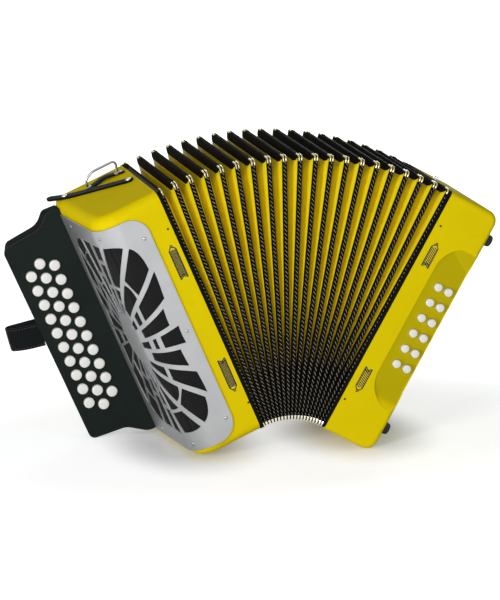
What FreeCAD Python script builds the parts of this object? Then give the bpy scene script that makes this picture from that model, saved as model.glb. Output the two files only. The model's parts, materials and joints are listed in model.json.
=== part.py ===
import FreeCAD, Part
import math
import os
import Sketcher

# Diatonic accordion standing fanned open on the lower corners of its two ends.
# Each end has a frame of its own: X runs from treble to bass, Y from the front to the
# player, Z up along the bellows face, with the origin at the lower front corner of
# the face that the bellows frame is fixed to. The treble end lies at negative X and
# the bass end at positive X. The folds of the bellows fan out from one centre line
# below the instrument.

VEC = FreeCAD.Vector
ROT = FreeCAD.Rotation
PLACE = FreeCAD.Placement

SIZES = [
    # Both ends
    ("end_depth", 185.0),
    ("end_height", 342.0),
    ("casing_wall", 6.0),
    ("rim_round", 13.0),
    ("overrun", 4.0),
    # Opening of the fan, in degrees, and the folds
    ("fan_angle", 53.0),
    ("fold_count", 19.0),
    ("bottom_pitch", 4.1),
    ("bellows_margin", 2.0),
    ("bellows_rise", 1.5),
    ("fold_depth", 24.0),
    ("sheet_top", 3.0),
    ("sheet_bottom", 12.5),
    # Wooden frames between the ends and the folds
    ("frame_thickness", 5.0),
    ("frame_border", 22.0),
    ("frame_margin", 1.0),
    ("frame_round", 5.0),
    # Treble casing
    ("treble_width", 99.0),
    ("treble_front_width", 87.0),
    ("treble_corner_round", 32.0),
    ("window_edge", 40.0),
    ("window_margin", 42.0),
    ("window_back", 28.0),
    # Fingerboard
    ("board_step", 35.0),
    ("board_thickness", 25.0),
    ("board_reach", 88.0),
    ("board_top", 336.0),
    ("board_drop", 13.5),
    ("board_corner_round", 9.0),
    ("board_sweep_round", 22.0),
    ("board_bevel_depth", 23.0),
    ("board_bevel_inset", 7.0),
    ("board_edge_slack", 1.0),
    # Treble buttons: three rows, the middle one with one button more
    ("treble_button_radius", 7.0),
    ("treble_hole_radius", 7.5),
    ("treble_button_pitch", 20.63),
    ("treble_row_spacing", 16.5),
    ("treble_row_offset", 51.7),
    ("treble_row_height", 178.0),
    ("treble_long_row", 11.0),
    ("button_rise", 4.5),
    ("button_seat", 8.5),
    ("button_crown", 1.2),
    ("button_travel", 3.5),
    ("button_floor", 1.5),
    ("treble_button_sides", 12.0),
    # Grille and the cloth behind it
    ("grille_edge", 28.0),
    ("grille_low", 12.0),
    ("grille_high", 328.0),
    ("grille_side_gap", 1.5),
    ("grille_sheet", 1.4),
    ("grille_round", 26.0),
    ("cloth_sheet", 0.8),
    ("skin_gap", 0.25),
    ("cloth_inset", 5.0),
    ("sun_place", 130.0),
    ("sun_height", 167.0),
    ("sun_boss", 27.0),
    ("sun_reach_front", 115.0),
    ("sun_reach_back", 55.0),
    ("sun_reach_up", 136.0),
    ("sun_bar", 5.5),
    ("sun_rays", 20.0),
    ("sun_short_ray", 36.0),
    # Treble sound board with its reed blocks
    ("sound_board", 6.0),
    ("treble_board_place", 44.0),
    ("fit_gap", 0.3),
    ("block_height", 26.0),
    ("block_foot", 20.0),
    ("block_crest", 12.0),
    ("block_length", 270.0),
    ("treble_block_count", 3.0),
    ("treble_block_spacing", 44.0),
    # Bass casing
    ("bass_width", 74.0),
    ("bass_corner_round", 15.0),
    ("bass_edge_round", 7.0),
    ("bass_front_wall", 18.0),
    ("scoop_edge", 27.0),
    ("scoop_step", 1.0),
    ("scoop_depth", 8.5),
    ("scoop_low", 57.0),
    ("scoop_high", 286.0),
    ("scoop_ramp", 32.0),
    ("scoop_round", 40.0),
    # Bass buttons and air button
    ("bass_button_radius", 5.4),
    ("bass_hole_radius", 5.9),
    ("bass_button_pitch", 22.1),
    ("bass_column_spacing", 15.7),
    ("bass_column_place", 45.0),
    ("bass_button_height", 170.5),
    ("bass_button_rows", 6.0),
    ("bass_button_length", 15.0),
    ("bass_button_proud", 1.0),
    ("bass_button_travel", 3.0),
    ("bass_button_sides", 12.0),
    ("air_button_radius", 8.0),
    ("air_hole_radius", 8.4),
    ("air_button_place", 50.0),
    ("air_button_height", 226.0),
    ("air_button_rise", 5.0),
    ("air_button_length", 13.0),
    ("air_button_sides", 12.0),
    # Bass sound board with its reed block
    ("bass_board_place", 34.0),
    ("bass_block_height", 18.0),
    ("bass_block_count", 2.0),
    ("bass_block_spacing", 50.0),
    ("bass_block_length", 230.0),
    # Feet on the bass end
    ("foot_radius", 8.5),
    ("foot_tip_radius", 7.2),
    ("foot_height", 10.0),
    ("foot_low", 34.5),
    ("foot_high", 307.0),
    ("foot_inset", 18.0),
    ("foot_sides", 12.0),
    # Hand strap along the outer face of the bass end
    ("hand_strap_width", 56.0),
    ("hand_strap_thickness", 3.0),
    ("hand_strap_low", 30.0),
    ("hand_strap_high", 312.0),
    ("hand_strap_tab", 26.0),
    ("hand_strap_rise", 25.0),
    ("hand_strap_inset", 73.0),
    # Thumb strap at the outer edge of the fingerboard
    ("thumb_strap_width", 31.0),
    ("thumb_strap_thickness", 2.2),
    ("thumb_strap_height", 194.0),
    ("thumb_strap_reach", 37.0),
    ("thumb_strap_front", 8.0),
    ("thumb_strap_rise", 2.5),
    ("thumb_strap_loop", 10.0),
    ("thumb_strap_bend", 3.5),
    ("thumb_strap_return", 15.0),
    ("thumb_strap_tab", 24.0),
    ("thumb_strap_tilt", 15.0),
    # Shoulder strap bracket on top of the treble end
    ("bracket_length", 49.5),
    ("bracket_width", 12.0),
    ("bracket_plate", 2.5),
    ("bracket_place", 5.0),
    ("bracket_inset", 40.0),
    ("bail_place", 33.5),
    ("bail_inset", 44.0),
    ("bail_width", 39.0),
    ("bail_height", 19.0),
    ("bail_wire", 1.7),
    ("bail_round", 9.0),
    ("bail_sides", 8.0),
    # Strap that holds the bellows shut, parked on the treble end, and its stud
    ("strap_width", 12.0),
    ("strap_thickness", 3.0),
    ("strap_pivot_place", 11.0),
    ("strap_pivot_inset", 88.0),
    ("strap_length", 94.0),
    ("strap_tail", 19.0),
    ("strap_park_angle", 142.5),
    ("strap_cap_radius", 4.5),
    ("strap_cap_height", 1.4),
    ("strap_cap_sides", 12.0),
    ("stud_place", 13.0),
    ("stud_inset", 79.0),
    ("stud_radius", 4.0),
    ("stud_neck", 2.4),
    ("stud_height", 5.0),
]

# Fingerboard outline past the casing, as shares of its reach and of its height
BOARD_OUTLINE_SHARES = [
    (0.0, 0.0),
    (0.14, 0.0),
    (0.42, 0.058),
    (0.965, 0.078),
    (1.0, 0.945),
    (0.36, 0.957),
    (0.21, 1.0),
    (0.0, 0.995),
]
# Which sides of a fold lie level from front to back, the lower and the upper one
LEVEL_CARDS = (0, 3)
# Where the cross bars split the rays of the grille, in turn from ray to ray
SPLIT_SHARES = ((0.46,), (0.2, 0.4), (0.56,), (0.3,))
# The board's front face and its back, measured back from the front of the end
BOARD_SETBACK = "(end_depth - board_step)"
BOARD_BACK = "(end_depth - board_step + board_thickness)"
# How nearly the rays of the grille fill a rectangle, and the flat cuts round its bend
SUN_SQUARENESS = 5
BEND_CUTS = 3
# Straight steps round each bend of the bail's wire
BAIL_BENDS = 4
# Corners of the board's outer side, which is bevelled behind
OUTER_CORNERS = (3, 4)
# Corner of the board edges that get the wide sweep or the tight corner round
SWEEP_CORNERS = (1, 2, 5)
TIGHT_CORNERS = (3, 4, 6)

doc = FreeCAD.newDocument("Accordion")
sheet = doc.addObject("Spreadsheet::Sheet", "sizes")
for row, (alias, number) in enumerate(SIZES, start=1):
    sheet.set("A%d" % row, alias)
    sheet.set("B%d" % row, repr(number))
    sheet.setAlias("B%d" % row, alias)
doc.recompute()


def size(alias):
    return float(sheet.get(alias))


def value(expression):
    """The number that an expression in the sheet's aliases gives now."""
    return float(sheet.evalExpression(expression))


def many(alias):
    return int(round(size(alias)))


# Sketches and features

def plane_of(body, role):
    for feature in body.Origin.OriginFeatures:
        if feature.Role == role:
            return feature
    raise ValueError("no plane " + role)


def cells(expression):
    """Write bare aliases as cells of the sheet, for use in an object's expression."""
    names = sorted((alias for alias, number in SIZES), key=len, reverse=True)
    out = []
    word = ""
    for mark in expression + " ":
        if mark.isalnum() or mark == "_":
            word += mark
            continue
        out.append("sizes." + word if word in names else word)
        word = ""
        out.append(mark)
    return "".join(out).strip()


def tie(thing, **properties):
    for name, expression in properties.items():
        thing.setExpression(name, cells(expression))


def new_sketch(body, name, role, lift=None):
    sketch = body.newObject("Sketcher::SketchObject", name)
    sketch.AttachmentSupport = (plane_of(body, role), [""])
    sketch.MapMode = "FlatFace"
    if lift:
        sketch.setExpression(".AttachmentOffset.Base.z", cells(lift))
    return sketch


def hold(sketch, kind, place, expression):
    """Tie one point's distance from the sketch origin to an expression."""
    number = value(expression)
    index = sketch.addConstraint(
        Sketcher.Constraint(kind, -1, 1, place[0], place[1], number))
    sketch.setExpression("Constraints[%d]" % index, cells(expression))


def polygon(sketch, corners):
    """A closed outline whose corners are pairs of size expressions."""
    spots = [VEC(value(x), value(y), 0) for x, y in corners]
    lines = []
    for here, there in zip(spots, spots[1:] + spots[:1]):
        lines.append(sketch.addGeometry(Part.LineSegment(here, there), False))
    for line, after in zip(lines, lines[1:] + lines[:1]):
        sketch.addConstraint(Sketcher.Constraint("Coincident", line, 2, after, 1))
    for line, (x, y) in zip(lines, corners):
        hold(sketch, "DistanceX", (line, 1), x)
        hold(sketch, "DistanceY", (line, 1), y)
    return sketch


def ring_corners(sides, x, y, radius):
    """Corners of a regular many-sided hole or rod, as pairs of size expressions."""
    corners = []
    for side in range(many(sides)):
        turn = 2 * math.pi * side / many(sides)
        corners.append(("%s + %s * (%.6f)" % (x, radius, math.cos(turn)),
                        "%s + %s * (%.6f)" % (y, radius, math.sin(turn))))
    return corners


def pad(body, sketch, length, reverse=False):
    feature = body.newObject("PartDesign::Pad", "Pad")
    feature.Profile = sketch
    feature.Reversed = reverse
    tie(feature, Length=length)
    doc.recompute()
    return feature


def pocket(body, sketch, depth, reverse=False):
    before = body.Shape.Volume
    feature = body.newObject("PartDesign::Pocket", "Pocket")
    feature.Profile = sketch
    feature.Reversed = reverse
    tie(feature, Length=depth)
    doc.recompute()
    if body.Shape.Volume >= before:
        raise ValueError("the pocket from %s cuts nothing" % sketch.Name)
    return feature


def pattern(body, feature, sketch, count, pitch):
    """Repeat a feature up the sketch's own vertical axis."""
    rows = body.newObject("PartDesign::LinearPattern", "Pattern")
    rows.Originals = [feature]
    rows.Direction = (sketch, ["V_Axis"])
    tie(rows, Length="(%s - 1) * %s" % (count, pitch), Occurrences=count)
    body.Tip = rows
    doc.recompute()
    return rows


def edges_where(shape, test):
    return ["Edge%d" % (i + 1) for i, edge in enumerate(shape.Edges) if test(edge)]


def dress(body, kind, names, amount):
    base = body.Tip
    feature = body.newObject("PartDesign::" + kind, kind)
    feature.Base = (base, names)
    if kind == "Fillet":
        tie(feature, Radius=amount)
    else:
        tie(feature, Size=amount)
    doc.recompute()
    return feature


def runs_along(edge, axis):
    if len(edge.Vertexes) != 2:
        return False
    span = edge.Vertexes[1].Point - edge.Vertexes[0].Point
    return abs(span.normalize().dot(axis)) > 1 - HAIR


def near(first, second):
    return abs(first - second) < HAIR * 100


HAIR = 1e-4
ALONG_X = VEC(1, 0, 0)
ALONG_Y = VEC(0, 1, 0)
ALONG_Z = VEC(0, 0, 1)


# Lean of the two ends

BELLOWS_RADIUS = size("bottom_pitch") * size("fold_count") / math.radians(size("fan_angle"))
FACE_RADIUS = BELLOWS_RADIUS - size("bellows_margin")


def lowest(corner_rounds, lean):
    """Height over the fan centre of the lowest round corner of an end that leans."""
    tilt = math.radians(lean)
    heights = []
    for out, up, radius in corner_rounds:
        rise = (FACE_RADIUS + up) * math.cos(tilt)
        drop = (out + size("frame_thickness")) * math.sin(tilt)
        heights.append(rise - drop - radius)
    return min(heights)


def board_corners():
    """The fingerboard's outline, across and up, as size expressions."""
    corners = []
    for across, up in BOARD_OUTLINE_SHARES:
        corners.append(("-treble_width - board_reach * %r" % across,
                        "board_drop + (board_top - board_drop) * %r" % up))
    return corners


def round_centre(spots, radius):
    """Centre of a round of this radius at the middle one of three corners."""
    before, corner, after = spots
    first, second = (before - corner).normalize(), (after - corner).normalize()
    half = first.getAngle(second) / 2
    return corner + (first + second).normalize() * (radius / math.sin(half))


def settle_leans():
    """Share the fan angle so that both ends touch the same floor."""
    rim = size("rim_round")
    tight = size("board_corner_round")
    foot = round_centre([VEC(value(x), value(z), 0) for x, z in board_corners()[2:5]], tight)
    treble = [(size("treble_width") - rim, rim, rim), (-foot.x, foot.y, tight)]
    corner = size("bass_corner_round")
    bass = [(size("bass_width") - corner, corner, corner)]
    low, high = 0.0, size("fan_angle")
    while high - low > HAIR:
        lean = (low + high) / 2
        if lowest(treble, lean) > lowest(bass, size("fan_angle") - lean):
            low = lean
        else:
            high = lean
    return lean


TREBLE_LEAN = settle_leans()
BASS_LEAN = size("fan_angle") - TREBLE_LEAN


def end_frame(lean, side):
    """Placement of an end whose face leans this far and lies on this side (-1, 1)."""
    turn = ROT(ALONG_Y, side * lean)
    shift = VEC(side * size("frame_thickness"), 0, FACE_RADIUS)
    return PLACE(turn.multVec(shift), turn)


TREBLE = end_frame(TREBLE_LEAN, -1)
BASS = end_frame(BASS_LEAN, 1)
FAN = PLACE()
parts = []


def keep(thing, label, frame, spot=None, turn=None):
    """Put a finished sub-part in the frame of the end that carries it."""
    local = PLACE(spot or VEC(), turn or ROT())
    thing.Placement = frame.multiply(local)
    thing.Label = label
    parts.append(thing)
    return thing


def new_body(name):
    return doc.addObject("PartDesign::Body", name + "_body")


# Treble casing

def make_treble_casing():
    body = new_body("treble_casing")
    corners = [
        ("0", "0"),
        ("-treble_front_width", "0"),
        ("-treble_width", BOARD_SETBACK),
        ("-treble_width", "end_depth"),
        ("0", "end_depth"),
    ]
    plan = polygon(new_sketch(body, "treble_plan", "XY_Plane"), corners)
    pad(body, plan, "end_height")
    front_x, back_x = -size("treble_front_width"), -size("treble_width")

    def upright_at(x, y):
        return edges_where(body.Shape, lambda e: runs_along(e, ALONG_Z)
                           and near(e.Vertexes[0].X, x) and near(e.Vertexes[0].Y, y))

    dress(body, "Fillet", upright_at(front_x, 0), "treble_corner_round")
    dress(body, "Fillet", upright_at(back_x, size("end_depth")), "rim_round")
    round_rims(body, "Z", (0.0, size("end_height")), "rim_round")
    wall, depth = "casing_wall", "end_depth"
    hollow = [
        ("overrun", wall),
        ("-treble_front_width + treble_corner_round", wall),
        ("-treble_front_width + casing_wall", "treble_corner_round"),
        ("-treble_width + casing_wall", BOARD_SETBACK),
        ("-treble_width + casing_wall", depth + " - casing_wall * 2"),
        ("-treble_width + casing_wall * 2", depth + " - casing_wall"),
        ("overrun", depth + " - casing_wall"),
    ]
    inside = polygon(new_sketch(body, "treble_hollow", "XY_Plane", wall), hollow)
    pocket(body, inside, "end_height - casing_wall * 2", reverse=True)
    window = [
        ("-window_edge", "window_margin"),
        ("-window_edge", "end_height - window_margin"),
        ("-treble_width - overrun", "end_height - window_margin"),
        ("-treble_width - overrun", "window_margin"),
    ]
    sound = polygon(new_sketch(body, "treble_window", "XZ_Plane", "overrun"), window)
    pocket(body, sound, BOARD_SETBACK + " - window_back + overrun")
    keep(body, "treble_casing", TREBLE)


def round_rims(body, axis, levels, radius):
    """Round a casing's two rims across an axis, all but at the bellows face."""

    def on_rim(edge):
        box = edge.BoundBox
        low, high = getattr(box, axis + "Min"), getattr(box, axis + "Max")
        level = any(near(low, spot) and near(high, spot) for spot in levels)
        at_face = near(box.XMin, 0) and near(box.XMax, 0)
        return level and not at_face

    dress(body, "Fillet", edges_where(body.Shape, on_rim), radius)


# Grille and cloth wrapped round the front corner of the treble casing

TAPER = math.atan2(value("treble_width - treble_front_width"), value(BOARD_SETBACK))
WRAP_ANGLE = math.pi / 2 - TAPER
WRAP_TANGENT = size("treble_corner_round") * math.tan(WRAP_ANGLE / 2)
WRAP_X = WRAP_TANGENT - size("treble_front_width")
WRAP_CENTRE = VEC(WRAP_X, size("treble_corner_round"), 0)
SIDE_DIRECTION = VEC(-math.sin(TAPER), math.cos(TAPER), 0)
SIDE_NORMAL = VEC(-math.cos(TAPER), -math.sin(TAPER), 0)
FRONT_RUN = -WRAP_X - size("grille_edge")
WRAP_RUN = size("treble_corner_round") * WRAP_ANGLE
SIDE_START = WRAP_CENTRE + SIDE_NORMAL * size("treble_corner_round")
SIDE_RUN = (value(BOARD_SETBACK + " - grille_side_gap") - SIDE_START.y) / math.cos(TAPER)
SHEET_RUN = FRONT_RUN + WRAP_RUN + SIDE_RUN


def wrap_normal(share):
    angle = WRAP_ANGLE * share
    return VEC(-math.sin(angle), -math.cos(angle), 0)


def wrapped_sheet(lift, thickness, inset, low, high):
    """A sheet bent round the casing's front corner, this far off its surface."""
    base = ALONG_Z * low
    start = base + VEC(-size("grille_edge") - inset, 0, 0)
    bend = size("treble_corner_round")
    finish = base + SIDE_START + SIDE_DIRECTION * SIDE_RUN
    centre = base + WRAP_CENTRE

    def row(offset):
        first = start + wrap_normal(0) * offset
        arc = [centre + wrap_normal(share) * (bend + offset) for share in (0, 0.5, 1)]
        last = finish + SIDE_NORMAL * offset
        return first, arc, last

    in_first, in_arc, in_last = row(lift)
    out_first, out_arc, out_last = row(lift + thickness)
    outline = Part.Wire([
        Part.makeLine(in_first, in_arc[0]),
        Part.Arc(*in_arc).toShape(),
        Part.makeLine(in_arc[2], in_last),
        Part.makeLine(in_last, out_last),
        Part.makeLine(out_last, out_arc[2]),
        Part.Arc(out_arc[2], out_arc[1], out_arc[0]).toShape(),
        Part.makeLine(out_arc[0], out_first),
        Part.makeLine(out_first, in_first),
    ])
    solid = Part.Face(outline).extrude(VEC(0, 0, high - low))
    corners = [e for e in solid.Edges if runs_along(e, ALONG_Y)
               and near(e.Vertexes[0].X, start.x)]
    return solid.makeFillet(size("grille_round") - inset, corners)


def sun_reach(angle):
    """Distance from the boss to the end of the rays, a rounded rectangle."""
    across = size("sun_reach_front") if math.cos(angle) < 0 else size("sun_reach_back")
    sideways = abs(math.cos(angle) / across) ** SUN_SQUARENESS
    upwards = abs(math.sin(angle) / size("sun_reach_up")) ** SUN_SQUARENESS
    return (sideways + upwards) ** (-1.0 / SUN_SQUARENESS)


def ray_openings():
    """Corner lists of the grille's openings, on the sheet laid flat."""
    rays = many("sun_rays")
    step = 2 * math.pi / rays
    half_bar = size("sun_bar") / 2
    boss = size("sun_boss")
    openings = []
    for ray in range(rays):
        sides = (ray * step, (ray + 1) * step)
        middle = (sides[0] + sides[1]) / 2
        length = sun_reach(middle) - boss
        splits = SPLIT_SHARES[ray % len(SPLIT_SHARES)]
        if length < size("sun_short_ray"):
            splits = ()
        gap = half_bar / length
        starts = [0.0] + [split + gap for split in splits]
        ends = [split - gap for split in splits] + [1.0]
        for low, high in zip(starts, ends):
            openings.append(opening_corners(sides, middle, boss, low, high, half_bar))
    return openings


def opening_corners(sides, middle, boss, low, high, half_bar):
    def spot(angle, share, side):
        radius = boss + share * (sun_reach(angle) - boss)
        along = radius * math.cos(angle) - side * half_bar * math.sin(angle)
        up = radius * math.sin(angle) + side * half_bar * math.cos(angle)
        return (size("sun_place") + along, size("sun_height") + up)

    first, second = sides
    return [
        spot(first, low, 1),
        spot(first, high, 1),
        spot(middle, high, 0),
        spot(second, high, -1),
        spot(second, low, -1),
    ]


def clipped(corners, low, high):
    """The part of a flat outline whose run lies between low and high."""
    for limit, sign in ((low, 1), (high, -1)):
        out = []
        for here, there in zip(corners, corners[1:] + corners[:1]):
            a = sign * (here[0] - limit)
            b = sign * (there[0] - limit)
            if a >= 0:
                out.append(here)
            if a * b < 0:
                share = a / (a - b)
                out.append((limit, here[1] + share * (there[1] - here[1])))
        corners = out
    return corners


def sheet_zones():
    """Flat stretches that stand for the sheet, each with its place and normal."""
    joint = size("skin_gap")
    zones = []
    front = VEC(-size("grille_edge"), 0, 0)
    zones.append((-joint, FRONT_RUN + joint, 0, front, VEC(-1, 0, 0), wrap_normal(0), None))
    width = WRAP_RUN / BEND_CUTS
    for cut in range(BEND_CUTS):
        start = FRONT_RUN + cut * width
        normal = wrap_normal((cut + 0.5) / BEND_CUTS)
        along = VEC(normal.y, -normal.x, 0)
        middle = start + width / 2
        zones.append((start - joint, start + width + joint, middle,
                      WRAP_CENTRE, along, normal, size("treble_corner_round")))
    start = FRONT_RUN + WRAP_RUN
    zones.append((start - joint, SHEET_RUN + joint, start, SIDE_START,
                  SIDE_DIRECTION, SIDE_NORMAL, None))
    return zones


def ray_cutters():
    """Prisms through the sheet, one for each opening in each zone that it crosses."""
    reach = size("overrun")
    cutters = []
    for low, high, zero, origin, along, normal, bend in sheet_zones():
        for corners in ray_openings():
            outline = clipped(corners, low, high)
            if len(outline) < 3:
                continue
            spots = []
            for run, up in outline:
                place = run - zero if bend is None else bend * math.sin((run - zero) / bend)
                lift = 0.0 if bend is None else bend
                spots.append(origin + along * place + normal * (lift - reach) + ALONG_Z * up)
            wire = Part.makePolygon(spots + spots[:1])
            cutters.append(Part.Face(wire).extrude(normal * (2 * reach + reach)))
    return cutters


def make_treble_grille():
    lift = size("skin_gap") * 2 + size("cloth_sheet")
    solid = wrapped_sheet(lift, size("grille_sheet"), 0, size("grille_low"), size("grille_high"))
    for cutter in ray_cutters():
        solid = solid.cut(cutter)
    feature = doc.addObject("Part::Feature", "treble_grille_sheet")
    feature.Shape = solid
    keep(feature, "treble_grille", TREBLE)


def make_grille_cloth():
    inset = size("cloth_inset")
    solid = wrapped_sheet(size("skin_gap"), size("cloth_sheet"), inset,
                          size("grille_low") + inset, size("grille_high") - inset)
    feature = doc.addObject("Part::Feature", "grille_cloth_sheet")
    feature.Shape = solid
    keep(feature, "grille_cloth", TREBLE)


# Fingerboard

def board_edge_at(height):
    """Place across of the board's outer edge, which leans a little."""
    (low_x, low_z), (high_x, high_z) = [
        (value(x), value(z)) for x, z in board_corners()[3:5]]
    return low_x + (high_x - low_x) * (height - low_z) / (high_z - low_z)


def board_edge_lean():
    """How far the board's outer edge leans from upright, in degrees."""
    step = size("end_height")
    return math.degrees(math.atan2(board_edge_at(step) - board_edge_at(0), step))


def make_fingerboard():
    body = new_body("fingerboard")
    corners = board_corners()
    face = polygon(new_sketch(body, "board_outline", "XZ_Plane", "-" + BOARD_SETBACK), corners)
    pad(body, face, "board_thickness", reverse=True)

    spots = [VEC(value(x), 0, value(z)) for x, z in corners]
    deep = value(BOARD_BACK)

    def at_spot(vertex, numbers, reach):
        flat = VEC(vertex.X, 0, vertex.Z)
        return any(flat.distanceToPoint(spots[i]) < reach for i in numbers)

    outer_back = edges_where(body.Shape, lambda e: near(e.BoundBox.YMin, deep) and all(
        at_spot(vertex, OUTER_CORNERS, HAIR) for vertex in e.Vertexes))
    bevel = dress(body, "Chamfer", outer_back, "board_bevel_depth")
    bevel.ChamferType = "Two distances"
    tie(bevel, Size2="board_bevel_inset")
    doc.recompute()

    def edges_at(numbers):
        reach = size("board_bevel_inset") + size("board_edge_slack")
        return edges_where(body.Shape, lambda e: e.BoundBox.YLength > HAIR and all(
            at_spot(vertex, numbers, reach) for vertex in e.Vertexes))

    dress(body, "Fillet", edges_at(SWEEP_CORNERS), "board_sweep_round")
    dress(body, "Fillet", edges_at(TIGHT_CORNERS), "board_corner_round")
    for row, place, count in button_rows():
        lowest_button = "treble_row_height - (%s - 1) * treble_button_pitch / 2" % count
        holes = new_sketch(body, "row_%d_hole" % row, "XZ_Plane",
                           "-" + BOARD_SETBACK + " + overrun")
        polygon(holes, ring_corners("treble_button_sides", place, lowest_button,
                                    "treble_hole_radius"))
        depth = "button_seat + button_travel + button_floor + overrun"
        hole = pocket(body, holes, depth)
        pattern(body, hole, holes, count, "treble_button_pitch")
    keep(body, "fingerboard", TREBLE)


def button_rows():
    """Each treble row's number, its place across the board and its button count."""
    for row, shift in ((1, 1), (2, 0), (3, -1)):
        place = "-treble_width - treble_row_offset - treble_row_spacing * (%d)" % shift
        count = "treble_long_row" if row == 2 else "(treble_long_row - 1)"
        yield row, place, count


def bevelled_disc(label, sides, radius, length, crown):
    """A many-sided disc whose top edge is bevelled."""
    body = new_body(label)
    disc = body.newObject("PartDesign::AdditivePrism", "Disc")
    disc.Polygon = many(sides)
    tie(disc, Circumradius=radius, Height=length)
    doc.recompute()
    top = [name for name, face in zip(face_names(body.Shape), body.Shape.Faces)
           if near(face.CenterOfMass.z, value(length))]
    dress(body, "Chamfer", top, crown)
    return body


def make_button(label, sides, radius, length, crown, frame, spot, turn):
    keep(bevelled_disc(label, sides, radius, length, crown), label, frame, spot, turn)


def face_names(shape):
    return ["Face%d" % (i + 1) for i in range(len(shape.Faces))]


FACING_FRONT = ROT(ALONG_X, 90)
FACING_BACK = ROT(ALONG_X, -90)
FACING_OUT = ROT(ALONG_Y, 90)


def make_treble_buttons():
    number = 0
    for row, place, count in button_rows():
        buttons = int(round(value(count)))
        top = value("treble_row_height + (%s - 1) * treble_button_pitch / 2" % count)
        for step in range(buttons):
            number += 1
            spot = VEC(value(place), value(BOARD_SETBACK + " + button_seat"),
                       top - step * size("treble_button_pitch"))
            make_button("treble_button_%02d" % number, "treble_button_sides",
                        "treble_button_radius", "button_seat + button_rise",
                        "button_crown", TREBLE, spot, FACING_FRONT)


# Frames between ends and folds

def make_bellows_frame(label, frame, side):
    """A flat wooden ring; side is 1 where it lies at positive X of its end's face."""
    body = new_body(label)
    margin = "frame_margin"
    border = "(frame_margin + frame_border)"
    outer = [(margin, margin), ("end_depth - " + margin, margin),
             ("end_depth - " + margin, "end_height - " + margin),
             (margin, "end_height - " + margin)]
    inner = [(border, border), ("end_depth - " + border, border),
             ("end_depth - " + border, "end_height - " + border),
             (border, "end_height - " + border)]
    ring = new_sketch(body, label + "_ring", "YZ_Plane")
    polygon(ring, outer)
    polygon(ring, inner)
    pad(body, ring, "frame_thickness", reverse=side < 0)

    def at_corner(edge):
        point = edge.Vertexes[0].Point
        low, deep = size("frame_margin"), size("end_depth") - size("frame_margin")
        high = size("end_height") - size("frame_margin")
        across = near(point.y, low) or near(point.y, deep)
        return runs_along(edge, ALONG_X) and across and (near(point.z, low) or near(point.z, high))

    dress(body, "Fillet", edges_where(body.Shape, at_corner), "frame_round")
    keep(body, label, frame)


# Bellows

def fan_point(radius, angle, depth):
    return VEC(radius * math.sin(angle), depth, radius * math.cos(angle))


def fold_ring(angle, fold, low_inset, high_inset):
    """Corners of one rectangle of the folds, with the middles of its two long sides."""
    margin = size("bellows_margin")
    low = BELLOWS_RADIUS + fold + low_inset
    top = BELLOWS_RADIUS + size("end_height") - 2 * margin + size("bellows_rise")
    high = top - fold - high_inset
    front_low, front_high = margin + fold + low_inset, margin + fold + high_inset
    deep = size("end_depth")
    middle, front_middle = (low + high) / 2, (front_low + front_high) / 2
    return [
        fan_point(low, angle, front_low),
        fan_point(low, angle, deep - front_low),
        fan_point(middle, angle, deep - front_middle),
        fan_point(high, angle, deep - front_high),
        fan_point(high, angle, front_high),
        fan_point(middle, angle, front_middle),
    ]


def fold_rings(low_inset, high_inset):
    """The rectangles at each outer and inner crease, from the treble end on."""
    rings = []
    steps = 2 * many("fold_count")
    for step in range(steps + 1):
        angle = math.radians(size("fan_angle") * step / steps - TREBLE_LEAN)
        fold = size("fold_depth") if step % 2 else 0.0
        rings.append(fold_ring(angle, fold, low_inset, high_inset))
    return rings


def fold_cards(rings):
    """Flat cards from crease to crease; the long ones are bent along a diagonal."""
    cards = []
    for ring, following in zip(rings, rings[1:]):
        for place in range(len(ring)):
            beside = (place + 1) % len(ring)
            near_edge = [ring[place], ring[beside]]
            far_edge = [following[beside], following[place]]
            if place in LEVEL_CARDS:
                cards.append(flat_face(near_edge + far_edge))
            else:
                cards.append(flat_face(near_edge + far_edge[:1]))
                cards.append(flat_face(near_edge[:1] + far_edge))
    return cards


def flat_face(corners):
    return Part.Face(Part.makePolygon(corners + corners[:1]))


def folded(name, low_inset, high_inset):
    """A closed solid whose skin is the folds, drawn in by these insets."""
    rings = fold_rings(low_inset, high_inset)
    skin = fold_cards(rings) + [flat_face(rings[0]), flat_face(rings[-1])]
    solid = Part.makeSolid(Part.makeShell(skin))
    if solid.Volume < 0:
        solid.reverse()
    feature = doc.addObject("Part::Feature", name)
    feature.Shape = solid
    return feature


def make_bellows():
    cut = doc.addObject("Part::Cut", "bellows_sheet")
    cut.Base = folded("bellows_outside", 0.0, 0.0)
    cut.Tool = folded("bellows_inside", size("sheet_bottom"), size("sheet_top"))
    keep(cut, "bellows", FAN)


# Sound boards and reed blocks

def make_reed_blocks(label, frame, side, place, block_height, count, spacing, length):
    """A board across the casing with tapered wooden blocks towards the bellows."""
    board = doc.addObject("Part::Box", label + "_board")
    tie(board, Length="sound_board",
        Width="end_depth - casing_wall - %s - 2 * fit_gap" % side_wall(side),
        Height="end_height - 2 * casing_wall - 2 * fit_gap")
    shift = "-{0} - sound_board" if side < 0 else "{0}"
    board.Placement.Base = VEC(value(shift.format(place)),
                               value(side_wall(side) + " + fit_gap"),
                               value("casing_wall + fit_gap"))
    pieces = [board]
    for block in range(many(count)):
        offset = (block - (many(count) - 1) / 2.0) * size(spacing)
        pieces.append(reed_block(label, block, side, place, block_height, offset, length))
    fused = doc.addObject("Part::MultiFuse", label + "_fused")
    fused.Shapes = pieces
    keep(fused, label, frame)


def side_wall(side):
    return "casing_wall" if side < 0 else "bass_front_wall"


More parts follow.
